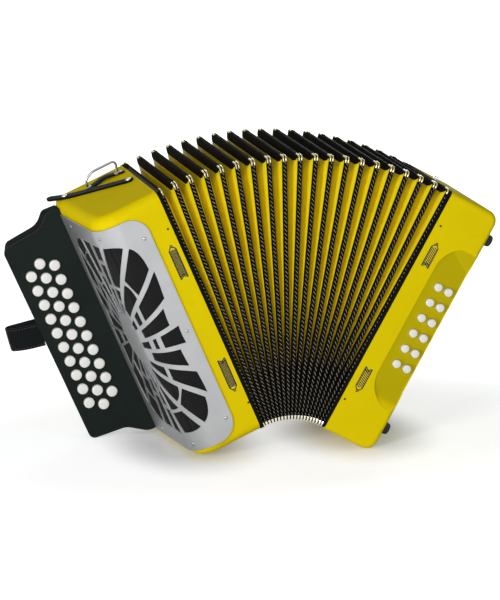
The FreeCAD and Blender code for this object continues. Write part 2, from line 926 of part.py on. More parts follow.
def reed_block(label, number, side, place, block_height, offset, length):
    wedge = doc.addObject("Part::Wedge", "%s_%d" % (label, number + 1))
    inset = "(block_foot - block_crest) / 2"
    tie(wedge, Xmin="0", Ymin="0", Zmin="0", Xmax="block_foot", Zmax=length,
        Ymax=block_height, X2min=inset, X2max="block_foot - " + inset,
        Z2min="0", Z2max=length)
    middle = value("(end_depth + %s - casing_wall) / 2" % side_wall(side)) + offset
    low = value("(end_height - %s) / 2" % length)
    # The crest points along the wedge's own Y, which is turned towards the bellows
    turn = ROT(ALONG_Z, -90) if side < 0 else ROT(ALONG_Z, 90)
    start = middle + size("block_foot") / 2 if side < 0 else middle - size("block_foot") / 2
    wedge.Placement = PLACE(VEC(value(place) * side, start, low), turn)
    return wedge


# Bass casing

def make_bass_casing():
    body = new_body("bass_shell")
    side = [("0", "0"), ("bass_width", "0"), ("bass_width", "end_height"), ("0", "end_height")]
    pad(body, polygon(new_sketch(body, "bass_side", "XZ_Plane"), side), "end_depth", reverse=True)
    outer = edges_where(body.Shape, lambda e: runs_along(e, ALONG_Y)
                        and near(e.Vertexes[0].X, size("bass_width")))
    dress(body, "Fillet", outer, "bass_corner_round")
    round_rims(body, "Y", (0.0, size("end_depth")), "bass_edge_round")
    far = "bass_width - casing_wall"
    hollow = [("-overrun", "bass_front_wall"), (far, "bass_front_wall"),
              (far, "end_depth - casing_wall * 2"),
              ("bass_width - casing_wall * 2", "end_depth - casing_wall"),
              ("-overrun", "end_depth - casing_wall")]
    inside = polygon(new_sketch(body, "bass_hollow", "XY_Plane", "casing_wall"), hollow)
    pocket(body, inside, "end_height - casing_wall * 2", reverse=True)
    for column in (0, 1):
        holes = new_sketch(body, "bass_column_%d" % (column + 1), "XZ_Plane", "overrun")
        bottom = "bass_button_height - (bass_button_rows - 1) * bass_button_pitch / 2"
        polygon(holes, ring_corners("bass_button_sides", bass_column(column), bottom,
                                    "bass_hole_radius"))
        hole = pocket(body, holes, "bass_front_wall + 2 * overrun")
        pattern(body, hole, holes, "bass_button_rows", "bass_button_pitch")
    air = new_sketch(body, "air_hole", "XZ_Plane", "-end_depth - overrun")
    polygon(air, ring_corners("air_button_sides", "air_button_place", "air_button_height",
                              "air_hole_radius"))
    pocket(body, air, "casing_wall + 2 * overrun", reverse=True)
    cut = doc.addObject("Part::Cut", "bass_casing_cut")
    cut.Base = body
    cut.Tool = make_scoop()
    keep(cut, "bass_casing", BASS)


def bass_column(column):
    return "bass_column_place + bass_column_spacing * %d" % column


def extrusion(name, corners, direction, length):
    """A straight prism from a flat outline, for use as a cutting tool."""
    outline = doc.addObject("Part::Feature", name + "_outline")
    outline.Shape = Part.Face(Part.makePolygon(corners + corners[:1]))
    prism = doc.addObject("Part::Extrusion", name)
    prism.Base = outline
    prism.DirMode = "Custom"
    prism.Dir = direction
    prism.Solid = True
    tie(prism, LengthFwd=length)
    return prism


def make_scoop():
    """The hollow for the fingers: shallow inside, deep at the outer edge."""
    edge, step, deep = size("scoop_edge"), size("scoop_step"), size("scoop_depth")
    far = size("bass_width") + size("overrun")
    low, high, ramp = size("scoop_low"), size("scoop_high"), size("scoop_ramp")
    over = size("overrun")
    wedge = extrusion("scoop_wedge", [
        VEC(edge, -over, 0), VEC(edge, step, 0), VEC(far, deep, 0), VEC(far, -over, 0),
    ], ALONG_Z, "end_height")
    shoulder = over * ramp / deep
    ramps = extrusion("scoop_ramps", [
        VEC(0, -over, low - shoulder), VEC(0, deep, low + ramp),
        VEC(0, deep, high - ramp), VEC(0, -over, high + shoulder),
    ], ALONG_X, "bass_width + overrun")
    bend = size("scoop_round")
    top = VEC(edge + bend, 0, high)
    bottom = VEC(edge + bend, 0, low)
    slant = bend * (1 - math.sqrt(0.5))
    rim = Part.Wire([
        Part.Arc(top, VEC(edge + slant, 0, high - slant), VEC(edge, 0, high - bend)).toShape(),
        Part.makeLine(VEC(edge, 0, high - bend), VEC(edge, 0, low + bend)),
        Part.Arc(VEC(edge, 0, low + bend), VEC(edge + slant, 0, low + slant), bottom).toShape(),
        Part.makeLine(bottom, VEC(far, 0, low)),
        Part.makeLine(VEC(far, 0, low), VEC(far, 0, high)),
        Part.makeLine(VEC(far, 0, high), top),
    ])
    outline = doc.addObject("Part::Feature", "scoop_rim_outline")
    outline.Shape = Part.Face(rim)
    mouth = doc.addObject("Part::Extrusion", "scoop_rim")
    mouth.Base = outline
    mouth.DirMode = "Custom"
    mouth.Dir = ALONG_Y
    mouth.Solid = True
    tie(mouth, LengthFwd="scoop_depth", LengthRev="overrun")
    common = doc.addObject("Part::MultiCommon", "scoop")
    common.Shapes = [wedge, ramps, mouth]
    return common


def make_bass_buttons():
    number = 0
    rows = many("bass_button_rows")
    for step in range(rows):
        height = size("bass_button_height") + (
            (rows - 1) / 2.0 - step) * size("bass_button_pitch")
        for column in (0, 1):
            number += 1
            spot = VEC(value(bass_column(column)),
                       size("bass_button_length") - size("bass_button_proud"), height)
            make_button("bass_button_%02d" % number, "bass_button_sides",
                        "bass_button_radius", "bass_button_length", "button_crown",
                        BASS, spot, FACING_FRONT)


def make_air_button():
    spot = VEC(size("air_button_place"),
               size("end_depth") + size("air_button_rise") - size("air_button_length"),
               size("air_button_height"))
    make_button("air_button", "air_button_sides", "air_button_radius",
                "air_button_length", "button_crown", BASS, spot, FACING_BACK)


# Feet

def make_rubber_feet():
    feet = []
    for height in ("foot_low", "foot_high"):
        for setback in ("foot_inset", "end_depth - foot_inset"):
            foot = bevelled_disc("foot_%d" % (len(feet) + 1), "foot_sides", "foot_radius",
                                 "foot_height", "foot_radius - foot_tip_radius")
            foot.Placement = PLACE(
                VEC(size("bass_width"), value(setback), size(height)), FACING_OUT)
            feet.append(foot)
    group = doc.addObject("Part::Compound", "feet")
    group.Links = feet
    keep(group, "rubber_feet", BASS)


# Straps

def arched_band(low, high, rise, tab, thickness):
    """Section of a strap that bows out between two flat tabs, in the XZ plane."""
    middle = (low + high) / 2
    inner = [VEC(0, 0, low), VEC(0, 0, low + tab), VEC(rise, 0, middle),
             VEC(0, 0, high - tab), VEC(0, 0, high)]
    out = VEC(thickness, 0, 0)
    outer = [spot + out for spot in inner]
    wire = Part.Wire([
        Part.makeLine(inner[0], inner[1]),
        Part.Arc(inner[1], inner[2], inner[3]).toShape(),
        Part.makeLine(inner[3], inner[4]),
        Part.makeLine(inner[4], outer[4]),
        Part.makeLine(outer[4], outer[3]),
        Part.Arc(outer[3], outer[2], outer[1]).toShape(),
        Part.makeLine(outer[1], outer[0]),
        Part.makeLine(outer[0], inner[0]),
    ])
    return Part.Face(wire)


def make_hand_strap():
    width = size("hand_strap_width")
    face = arched_band(size("hand_strap_low"), size("hand_strap_high"),
                       size("hand_strap_rise"), size("hand_strap_tab"),
                       size("hand_strap_thickness"))
    feature = doc.addObject("Part::Feature", "hand_strap_band")
    feature.Shape = face.extrude(VEC(0, width, 0))
    spot = VEC(size("bass_width"), value("end_depth - hand_strap_inset") - width / 2, 0)
    keep(feature, "hand_strap", BASS, spot)


def beside(route, offset):
    """The route moved this far to its left, with mitred corners."""
    normals = []
    for here, there in zip(route, route[1:]):
        along = (there - here).normalize()
        normals.append(VEC(-along.y, along.x, 0))
    moved = [route[0] + normals[0] * offset]
    for spot, before, after in zip(route[1:], normals, normals[1:]):
        moved.append(spot + (before + after) * (offset / (1 + before.dot(after))))
    moved.append(route[-1] + normals[-1] * offset)
    return moved


def make_thumb_strap():
    """A loop that leaves the board's edge, folds back and is fixed behind it."""
    width, reach = size("thumb_strap_width"), size("thumb_strap_reach")
    front = value(BOARD_SETBACK + " + thumb_strap_front")
    back = value(BOARD_BACK)
    fold = back + size("thumb_strap_rise")
    home = size("thumb_strap_return")
    tilt = size("thumb_strap_tilt")
    run_in = width / 2 * math.tan(math.radians(tilt))
    slope = (fold - front) / reach
    inner = [
        VEC(run_in, front - run_in * slope, 0),
        VEC(-reach, fold, 0),
        VEC(-reach, fold + size("thumb_strap_loop"), 0),
        VEC(home, back, 0),
        VEC(home + size("thumb_strap_tab"), back, 0),
    ]
    outer = beside(inner, size("thumb_strap_thickness"))
    band = flat_face(inner + outer[::-1]).extrude(ALONG_Z * width)
    band.translate(ALONG_Z * (-width / 2))
    for rail, extra in ((inner, 0.0), (outer, size("thumb_strap_thickness"))):
        bends = [edge for edge in band.Edges if runs_along(edge, ALONG_Z)
                 and any(flat_distance(edge, spot) < HAIR for spot in rail[1:3])]
        band = band.makeFillet(size("thumb_strap_bend") + extra, bends)
    height = size("thumb_strap_height")
    board = Part.makeBox(2 * reach, size("board_thickness"), 2 * width,
                         VEC(-size("fit_gap"), value(BOARD_SETBACK), -width))
    board.rotate(VEC(), ALONG_Y, board_edge_lean() - tilt)
    feature = doc.addObject("Part::Feature", "thumb_strap_band")
    feature.Shape = band.cut(board)
    keep(feature, "thumb_strap", TREBLE, VEC(board_edge_at(height), 0, height),
         ROT(ALONG_Y, tilt))


def flat_distance(edge, spot):
    point = edge.Vertexes[0].Point
    return math.hypot(point.x - spot.x, point.y - spot.y)


def bail_route():
    """Half of the wire's middle line, from its foot up and across to the middle."""
    half, rise, bend = size("bail_width") / 2, size("bail_height"), size("bail_round")
    route = [VEC(-half, size("bracket_plate") / 2, 0)]
    for step in range(BAIL_BENDS + 1):
        turn = math.pi / 2 * step / BAIL_BENDS
        route.append(VEC(bend - half - bend * math.cos(turn),
                         rise - bend + bend * math.sin(turn), 0))
    return route


def make_bail():
    """A many-sided wire bent up, across and down again, standing on its two feet."""
    route = bail_route()
    route += [VEC(-spot.x, spot.y, 0) for spot in reversed(route)]
    rails = []
    for across, up in ring_corners("bail_sides", "0", "0", "bail_wire"):
        rails.append([spot + ALONG_Z * value(up) for spot in beside(route, value(across))])
    skin = [flat_face([rail[end] for rail in rails]) for end in (0, -1)]
    for rail, after in zip(rails, rails[1:] + rails[:1]):
        for place in range(len(route) - 1):
            skin.append(flat_face([rail[place], rail[place + 1],
                                   after[place + 1], after[place]]))
    wire = Part.makeSolid(Part.makeShell(skin))
    if wire.Volume < 0:
        wire.reverse()
    wire.rotate(VEC(), ALONG_X, 90)
    return wire


def make_strap_bracket():
    """A plate with a wire bail that the shoulder strap hooks into."""
    plate = doc.addObject("Part::Box", "bracket_plate_box")
    tie(plate, Length="bracket_length", Width="bracket_width", Height="bracket_plate")
    plate.Placement.Base = VEC(value("-bracket_place - bracket_length"),
                               value("end_depth - bracket_inset - bracket_width / 2"), 0)
    bail = doc.addObject("Part::Feature", "bail")
    bail.Shape = make_bail()
    bail.Placement.Base = VEC(-size("bail_place"), value("end_depth - bail_inset"), 0)
    fused = doc.addObject("Part::Fuse", "bracket")
    fused.Base = plate
    fused.Tool = bail
    keep(fused, "strap_bracket", TREBLE, VEC(0, 0, size("end_height")))


def strap_piece(name, kind, spot, **ties):
    piece = doc.addObject(kind, name)
    if kind == "Part::Prism":
        piece.Polygon = many("strap_cap_sides")
    tie(piece, **ties)
    piece.Placement.Base = spot
    return piece


def make_bellows_strap():
    """A leather strip with round ends, with the caps of its two press studs."""
    half = size("strap_width") / 2
    total = value("strap_length + strap_tail")
    thick = size("strap_thickness")
    strip = strap_piece("strap_strip", "Part::Box", VEC(0, -half, 0),
                        Length="strap_length + strap_tail", Width="strap_width",
                        Height="strap_thickness")
    ends = [strap_piece("strap_end_%d" % (i + 1), "Part::Cylinder", VEC(x, 0, 0),
                        Radius="strap_width / 2", Height="strap_thickness")
            for i, x in enumerate((0.0, total))]
    caps = [strap_piece("strap_cap_%d" % (i + 1), "Part::Prism", VEC(x, 0, thick),
                        Circumradius="strap_cap_radius", Height="strap_cap_height")
            for i, x in enumerate((0.0, size("strap_length")))]
    fused = doc.addObject("Part::MultiFuse", "strap")
    fused.Shapes = [strip] + ends + caps
    spot = VEC(-size("strap_pivot_place"), value("end_depth - strap_pivot_inset"),
               value("end_height + fit_gap"))
    keep(fused, "bellows_strap", TREBLE, spot, ROT(ALONG_Z, size("strap_park_angle")))


def make_bass_strap_stud():
    neck = strap_piece("stud_neck_pin", "Part::Prism", VEC(),
                       Circumradius="stud_neck", Height="stud_height")
    base = strap_piece("stud_base", "Part::Prism", VEC(),
                       Circumradius="stud_radius", Height="stud_height / 4")
    head = strap_piece("stud_head", "Part::Prism", VEC(0, 0, value("stud_height * 3 / 4")),
                       Circumradius="stud_radius", Height="stud_height / 4")
    fused = doc.addObject("Part::MultiFuse", "stud")
    fused.Shapes = [neck, base, head]
    spot = VEC(size("stud_place"), value("end_depth - stud_inset"), size("end_height"))
    keep(fused, "bass_strap_stud", BASS, spot)


# Assembly

make_treble_casing()
make_grille_cloth()
make_treble_grille()
make_fingerboard()
make_treble_buttons()
make_reed_blocks("treble_reed_blocks", TREBLE, -1, "treble_board_place", "block_height",
                 "treble_block_count", "treble_block_spacing", "block_length")
make_bellows_frame("treble_bellows_frame", TREBLE, 1)
make_bellows()
make_bellows_frame("bass_bellows_frame", BASS, -1)
make_bass_casing()
make_bass_buttons()
make_air_button()
make_reed_blocks("bass_reed_blocks", BASS, 1, "bass_board_place", "bass_block_height",
                 "bass_block_count", "bass_block_spacing", "bass_block_length")
make_rubber_feet()
make_hand_strap()
make_thumb_strap()
make_strap_bracket()
make_bellows_strap()
make_bass_strap_stud()
doc.recompute()

# Move the whole so that the origin lies under its middle, on the floor
whole = FreeCAD.BoundBox()
for part in parts:
    whole.add(part.Shape.optimalBoundingBox(False, False))
shift = VEC(-whole.Center.x, -whole.Center.y, -whole.ZMin)
for part in parts:
    part.Placement = PLACE(shift, ROT()).multiply(part.Placement)
doc.recompute()

for thing in doc.Objects:
    if "Invalid" in thing.State or "Error" in thing.State:
        raise ValueError("%s failed: %s" % (thing.Label, thing.State))
os.makedirs("parts", exist_ok=True)
for part in parts:
    if part.Shape.isNull() or not part.Shape.isValid():
        raise ValueError(part.Label + " has no sound shape")
    part.Shape.exportStep(os.path.join("parts", part.Label + ".step"))
print("leans", TREBLE_LEAN, BASS_LEAN, "shift", shift.x, shift.y, shift.z)
print("sub-parts", len(parts), "size", whole.XLength, whole.YLength, whole.ZLength)
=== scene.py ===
import bmesh
import bpy
import itertools
import json
import math
from mathutils import Matrix, Vector
from mathutils.geometry import delaunay_2d_cdt


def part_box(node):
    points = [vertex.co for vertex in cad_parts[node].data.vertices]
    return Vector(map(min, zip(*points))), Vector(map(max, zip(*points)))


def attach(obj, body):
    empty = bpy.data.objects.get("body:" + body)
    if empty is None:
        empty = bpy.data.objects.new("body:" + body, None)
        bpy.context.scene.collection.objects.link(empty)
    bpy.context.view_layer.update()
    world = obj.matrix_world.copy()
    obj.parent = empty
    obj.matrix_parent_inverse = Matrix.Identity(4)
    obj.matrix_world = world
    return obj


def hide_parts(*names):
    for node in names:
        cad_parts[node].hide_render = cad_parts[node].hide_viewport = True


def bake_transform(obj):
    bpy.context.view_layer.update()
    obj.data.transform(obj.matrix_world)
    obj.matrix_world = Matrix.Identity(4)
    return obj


# Looks of a three-row accordion that stands fanned open on a table.
# Sizes are in millimetres, as in the source of the solids. Each end has a frame of its
# own: X from treble to bass, Y from the front to the player, Z up along the bellows
# face. The folds are built about their centre line, below the instrument.

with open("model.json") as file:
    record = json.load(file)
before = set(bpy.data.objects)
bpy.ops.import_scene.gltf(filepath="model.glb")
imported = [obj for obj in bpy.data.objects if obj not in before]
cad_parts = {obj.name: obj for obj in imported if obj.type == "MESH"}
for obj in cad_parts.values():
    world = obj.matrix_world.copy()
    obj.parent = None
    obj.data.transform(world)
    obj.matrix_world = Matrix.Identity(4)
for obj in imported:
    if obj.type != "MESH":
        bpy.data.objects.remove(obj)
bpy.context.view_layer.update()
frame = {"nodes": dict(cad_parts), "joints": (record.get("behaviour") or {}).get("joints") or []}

MM = 0.001
X_AXIS = Vector((1, 0, 0))
Y_AXIS = Vector((0, 1, 0))
Z_AXIS = Vector((0, 0, 1))
TO_FRONT = Matrix.Rotation(math.radians(90), 3, "X")
TO_BACK = Matrix.Rotation(math.radians(-90), 3, "X")
OUTWARD = Matrix.Rotation(math.radians(90), 3, "Y")

# Both ends
END_DEPTH = 185.0
END_HEIGHT = 342.0
TREBLE_WIDTH = 99.0
BASS_WIDTH = 74.0
FRAME_THICKNESS = 5.0

# Front and back of the fingerboard, behind the front of the treble end
BOARD_FRONT = 150.0
BOARD_BACK = 175.0

# The fan of folds, about its centre line
FAN_ANGLE = math.radians(53.0)
FOLDS = 19
BOTTOM_PITCH = 4.1
BELLOWS_MARGIN = 2.0
BELLOWS_RADIUS = BOTTOM_PITCH * FOLDS / FAN_ANGLE
FACE_RADIUS = BELLOWS_RADIUS - BELLOWS_MARGIN
FOLD_ANGLE = FAN_ANGLE / FOLDS

# Where the strap that holds the folds shut swings, and its gap over the casing
STRAP_PIVOT = Vector((-11.0, 97.0, END_HEIGHT))
FIT_GAP = 0.3


# Frames of the two ends and of the fan

def placed(lean, origin):
    """An end's frame: leaning about Y by this angle, with its origin here."""
    return Matrix.Translation(origin) @ Matrix.Rotation(lean, 4, "Y")


def shifted(place, x, y, z):
    """The same frame with its origin moved within it, in millimetres."""
    return place @ Matrix.Translation(Vector((x, y, z)) * MM)


def end_frames():
    """Frames of the treble end, the bass end and the fan, and the first crease's lean."""
    swing = next(joint for joint in frame["joints"] if joint["name"] == "bellows_strap_swing")
    up = Vector(swing["axis"])
    treble_lean = math.atan2(up.x, up.z)
    turn = Matrix.Rotation(treble_lean, 3, "Y")
    origin = Vector(swing["pos_m"]) - turn @ (STRAP_PIVOT + Z_AXIS * FIT_GAP) * MM
    centre = origin - turn @ Vector((-FRAME_THICKNESS, 0, FACE_RADIUS)) * MM
    bass_lean = FAN_ANGLE + treble_lean
    face = Matrix.Rotation(bass_lean, 3, "Y") @ Vector((FRAME_THICKNESS, 0, FACE_RADIUS))
    return (placed(treble_lean, origin), placed(bass_lean, centre + face * MM),
            Matrix.Translation(centre), treble_lean)


TREBLE, BASS, FAN, FIRST_ANGLE = end_frames()


# Shader nodes

class Socket:
    """A socket of a material's nodes; sums, products and tests on it add nodes."""

    def __init__(self, tree, link):
        self.tree = tree
        self.link = link

    def node(self, kind, settings, inputs, output=0):
        """Add a node, set it up, feed its inputs and return one of its outputs."""
        made = self.tree.nodes.new("ShaderNode" + kind)
        for name, setting in settings.items():
            setattr(made, name, setting)
        for name, given in inputs.items():
            if isinstance(given, Socket):
                self.tree.links.new(given.link, made.inputs[name])
            else:
                made.inputs[name].default_value = given
        return Socket(self.tree, made.outputs[output])

    def maths(self, operation, *others):
        inputs = dict(enumerate((self,) + others))
        return self.node("Math", {"operation": operation}, inputs)

    def __add__(self, other):
        return self.maths("ADD", other)

    def __sub__(self, other):
        return self.maths("SUBTRACT", other)

    def __rsub__(self, other):
        return self.node("Math", {"operation": "SUBTRACT"}, {0: other, 1: self})

    def __mul__(self, other):
        return self.maths("MULTIPLY", other)

    def __truediv__(self, other):
        return self.maths("DIVIDE", other)

    def __lt__(self, other):
        return self.maths("LESS_THAN", other)

    __radd__ = __add__
    __rmul__ = __mul__

    def ripple(self):
        """Rises and falls between 0 and 1, twice in each full turn."""
        return self.maths("SINE").maths("ABSOLUTE")

    def noise(self, scale, detail=3.0, roughness=0.55):
        return self.node("TexNoise", {}, {
            "Vector": self, "Scale": scale, "Detail": detail, "Roughness": roughness})

    def cracks(self, scale):
        return self.node("TexVoronoi", {"feature": "DISTANCE_TO_EDGE"}, {
            "Vector": self, "Scale": scale})

    def between(self, low, high):
        """Rises smoothly from 0 at low to 1 at high."""
        return self.node("MapRange", {"interpolation_type": "SMOOTHSTEP"}, {
            "Value": self, "From Min": low, "From Max": high})

    def within(self, start, risen, falling, end):
        """1 from risen to falling, and 0 before start and after end."""
        return self.between(start, risen) * (1.0 - self.between(falling, end))

    def vector_maths(self, operation, other, output=0):
        return self.node("VectorMath", {"operation": operation}, {0: self, 1: other}, output)

    def stretched(self, x, y, z):
        return self.vector_maths("MULTIPLY", (x, y, z))

    def length(self):
        return self.node("VectorMath", {"operation": "LENGTH"}, {0: self}, 1)

    def shades(self, first, second):
        """A colour between these two, by this factor."""
        return self.node("Mix", {"data_type": "RGBA"}, {0: self, 6: first, 7: second}, 2)


def shader_input(shader, word):
    """The shader's input of this name, written in small letters."""
    return next(found for found in shader.inputs
                if found.name.lower().replace(" ", "_") == word)


def new_finish(name, **constants):
    """A material with its shader's plain values set, and its object coordinates."""
    material = bpy.data.materials.new(name)
    material.use_nodes = True
    shader = material.node_tree.nodes["Principled BSDF"]
    for word, number in constants.items():
        shader_input(shader, word).default_value = number
    start = Socket(material.node_tree, None)
    return material, start.node("TexCoord", {}, {}, "Object")


def feed(material, **varying):
    """Link what varies over the surface into the material's shader."""
    tree = material.node_tree
    for word, socket in varying.items():
        tree.links.new(socket.link, shader_input(tree.nodes["Principled BSDF"], word))
    return material


def finish_with(material, base, rough, height, depth, **varying):
    """Feed a material's colour and roughness, and its relief through a bump."""
    normal = height.node("Bump", {}, {"Height": height, "Distance": depth})
    return feed(material, base_color=base, roughness=rough, normal=normal, **varying)


def colour(red, green, blue):
    return (red, green, blue, 1.0)


def grey(level):
    return colour(level, level, level)


def partway(first, last, share):
    """The value this share of the way from the first to the last."""
    return first + (last - first) * share


def attribute(spot, name):
    return spot.node("Attribute", {"attribute_name": name}, {}, "Fac")


def along_axis(spot, place, axis):
    """How far a spot lies along one axis of an end's frame, in millimetres."""
    direction = place.to_3x3().col[axis]
    reach = spot.vector_maths("DOT_PRODUCT", tuple(direction), 1)
    return (reach - direction.dot(place.translation)) / MM


# Finishes

YELLOW = colour(0.84, 0.66, 0.002)
YELLOW_DEEP = colour(0.78, 0.60, 0.002)

# Floor of the scoop round the bass buttons, where shade is painted on the bass casing
SCOOP_EDGE = 27.5
SCOOP_SIDE = BASS_WIDTH - 1.5
SCOOP_LOW = 66.0
SCOOP_HIGH = 282.0

# Dashes on the tape: their spacing and slant, and the shares of pitch and width they fill
DASH_PITCH = 5.4
DASH_SLANT = 0.72
DASH_SHARE = 0.16
DASH_REACH = 0.52
TAPE_THREAD = 0.7


def scoop_floor(spot):
    """1 on the sunken floor round the bass buttons, 0 elsewhere: where shade is painted."""
    across, deep, up = (along_axis(spot, BASS, axis) for axis in range(3))
    return (deep.within(0.25, 0.7, 11.0, 12.0)
            * across.within(SCOOP_EDGE - 1, SCOOP_EDGE + 1, SCOOP_SIDE - 1, SCOOP_SIDE)
            * up.within(SCOOP_LOW - 6, SCOOP_LOW + 6, SCOOP_HIGH - 2, SCOOP_HIGH + 2))


def make_celluloid(name, painted_shade=None):
    material, spot = new_finish(name, coat_roughness=0.08, ior=1.003)
    cloud = spot.noise(14.0, 4.0)
    scuffs = spot.stretched(1.0, 1.0, 5.0).noise(260.0, 6.0, 0.7).between(0.62, 0.72)
    grime = spot.noise(45.0, 5.0, 0.65).between(0.55, 0.85)
    base = cloud.shades(YELLOW_DEEP, YELLOW)
    base = (grime * 0.15).shades(base, colour(0.42, 0.33, 0.01))
    # Painted shade: where a mask is given, the yellow darkens towards olive, as on the bass
    # scoop's floor
    if painted_shade:
        base = (painted_shade(spot) * 0.6).shades(base, colour(0.42, 0.36, 0.004))
    return finish_with(material, base, 0.26 + cloud * 0.08 + scuffs * 0.2,
                       spot.noise(900.0, 2.0), 0.00002, coat_weight=0.03 - scuffs * 0.02)


def make_grille_metal():
    material, spot = new_finish("grille_metal")
    brushed = spot.stretched(1.0, 1.0, 0.06).noise(1800.0, 3.0, 0.7)
    cloud = spot.noise(30.0, 4.0)
    wear = spot.noise(120.0, 6.0, 0.7).between(0.6, 0.75)
    base = cloud.shades(colour(0.36, 0.37, 0.38), colour(0.46, 0.46, 0.47))
    base = (wear * 0.25).shades(base, colour(0.36, 0.36, 0.35))
    return finish_with(material, base, 0.36 + brushed * 0.16, brushed, 0.00003,
                       metallic=0.75 + cloud * 0.1)


def weave(spot, threads):
    """Height of a plain weave with this many threads to the metre."""
    across, deep, up = (spot.node("SeparateXYZ", {}, {"Vector": spot}, axis)
                        for axis in range(3))
    turn = threads * math.pi
    return (up * turn).ripple() * ((across + deep) * turn).ripple()


def make_grille_cloth():
    material, spot = new_finish("black_cloth", specular_ior_level=0.2)
    threads = weave(spot, 900.0)
    dust = spot.noise(60.0, 5.0).between(0.5, 0.9)
    base = threads.shades(grey(0.004), grey(0.013))
    base = (dust * 0.3).shades(base, colour(0.025, 0.024, 0.022))
    return finish_with(material, base, 0.95 - threads * 0.2, threads, 0.0003)


def make_lacquer(name, shine, dark, light):
    """Black lacquer; the fingerboard's edge is painted near black as shade, with a thin painted
    highlight line just behind its front edge.
    """
    material, spot = new_finish(name, coat_roughness=0.18, ior=1.1)
    cloud = spot.noise(18.0, 4.0)
    grain = spot.stretched(1.0, 1.0, 0.12).noise(420.0, 5.0, 0.6)
    rubs = spot.noise(90.0, 6.0, 0.7).between(0.6, 0.78)
    deep = along_axis(spot, TREBLE, 1)
    board = deep.between(BOARD_FRONT - 2.0, BOARD_FRONT - 1.0)
    # Painted shade: the board's side faces between its front and back go near black
    edge = board * deep.within(BOARD_FRONT + 0.3, BOARD_FRONT + 0.4,
                               BOARD_BACK - 0.4, BOARD_BACK - 0.3)
    # Painted highlight: a thin pale line on the board's sides just behind its front edge
    line = board * deep.within(BOARD_FRONT + 0.05, BOARD_FRONT + 0.1,
                               BOARD_FRONT + 0.8, BOARD_FRONT + 1.1)
    base = cloud.shades(dark, light)
    base = (rubs * 0.25).shades(base, colour(0.045, 0.045, 0.042))
    base = edge.shades(base, grey(0.002))
    base = (line * 0.8).shades(base, colour(0.10, 0.11, 0.11))
    return finish_with(material, base, shine + cloud * 0.1 + rubs * 0.15 + edge * 0.3, grain,
                       0.00004, coat_weight=(0.03 - rubs * 0.02) * (1.0 - edge))


def make_fold_board():
    """Thin yellow board covered with grained leathercloth; down in the folds it has less coat,
    more roughness and painted shade.
    """
    material, spot = new_finish("bellows_board", coat_roughness=0.16,
                                specular_ior_level=0.2)
    depth = attribute(spot, "fold_depth")
    grain = spot.cracks(900.0).between(0.0, 0.28)
    cloud = spot.noise(25.0, 4.0)
    base = cloud.shades(YELLOW, colour(0.93, 0.76, 0.012))
    # Painted shade: the yellow darkens towards the valleys of the folds
    base = (depth.between(0.6, 1.0) * 0.25).shades(base, colour(0.40, 0.30, 0.01))
    return finish_with(material, base, 0.42 + cloud * 0.1 + depth * 0.2, grain, 0.00008,
                       coat_weight=0.16 - depth * 0.14)


def make_fold_tape():
    """Black woven tape; slanting pale dashes are printed on its front and back runs."""
    material, spot = new_finish("fold_tape", ior=1.04)
    across, along, printed = (attribute(spot, name) for name in (
        "tape_across", "tape_along", "tape_printed"))
    slant = (along / DASH_PITCH + across * DASH_SLANT).maths("FRACT")
    dash = (slant < DASH_SHARE) * (across.maths("ABSOLUTE") < DASH_REACH)
    worn = 1.0 - spot.noise(700.0, 4.0).between(0.56, 0.8) * 0.7
    mark = dash * printed.between(0.6, 0.9) * worn
    threads = ((along * (math.pi / TAPE_THREAD)).ripple() + (across * 9.0).ripple()) * 0.5
    cloud = spot.noise(80.0, 4.0)
    base = cloud.shades(colour(0.0035, 0.0025, 0.0015), colour(0.009, 0.0065, 0.0045))
    base = mark.shades(base, colour(0.40, 0.40, 0.36))
    return finish_with(material, base, 0.5 + cloud * 0.2 - mark * 0.1,
                       threads + mark * 0.6, 0.00012)


def cap_plating(spot):
    """Darker and yellower on the high corners of the folds, paler on the low ones."""
    high = spot.stretched(1.0, 0.0, 1.0).length().between(0.1, 0.2)
    return high.shades(colour(0.82, 0.79, 0.68), colour(0.44, 0.38, 0.21))


def make_steel(name, tint, rough):
    """Bright metal with small rusty specks; its tint is a colour or varies by spot."""
    material, spot = new_finish(name, metallic=1.0)
    cloud = spot.noise(220.0, 4.0)
    specks = spot.noise(1300.0, 5.0, 0.7).between(0.6, 0.72)
    clean = tint(spot) if callable(tint) else tint
    base = (specks * 0.4).shades(clean, colour(0.30, 0.26, 0.20))
    return finish_with(material, base, rough + cloud * 0.1 + specks * 0.25, cloud, 0.00003)


def make_leather():
    material, spot = new_finish("black_leather", ior=1.1)
    grain = spot.cracks(700.0).between(0.0, 0.35)
    folds = spot.noise(60.0, 5.0)
    wear = spot.noise(35.0, 5.0).between(0.55, 0.8)
    base = folds.shades(colour(0.004, 0.005, 0.0055), colour(0.010, 0.012, 0.0125))
    base = (wear * 0.4).shades(base, colour(0.026, 0.028, 0.029))
    return finish_with(material, base, 0.42 + wear * 0.2 + grain * 0.08,
                       grain + folds * 0.6, 0.00022)


def make_thread():
    material, spot = new_finish("waxed_thread")
    twist = spot.noise(2600.0, 2.0)
    base = twist.shades(colour(0.02, 0.019, 0.018), colour(0.06, 0.057, 0.053))
    return finish_with(material, base, 0.6 + twist * 0.2, twist, 0.0001)


def make_rubber():
    material, spot = new_finish("black_rubber", specular_ior_level=0.35)
    grit = spot.noise(1500.0, 3.0)
    dust = spot.noise(120.0, 5.0).between(0.5, 0.8)
    base = (dust * 0.5).shades(grey(0.012), colour(0.05, 0.048, 0.045))
    return finish_with(material, base, 0.62 + grit * 0.2, grit, 0.0001)


def make_button_white():
    material, spot = new_finish("button_white", subsurface_weight=0.05,
                                subsurface_scale=0.002, coat_weight=0.3,
                                coat_roughness=0.08)
    cloud = spot.noise(160.0, 3.0)
    rub = spot.noise(700.0, 5.0).between(0.6, 0.8)
    base = cloud.shades(colour(0.83, 0.82, 0.78), colour(0.89, 0.88, 0.85))
    base = (rub * 0.2).shades(base, colour(0.55, 0.52, 0.45))
    return finish_with(material, base, 0.24 + rub * 0.15, cloud, 0.00003)


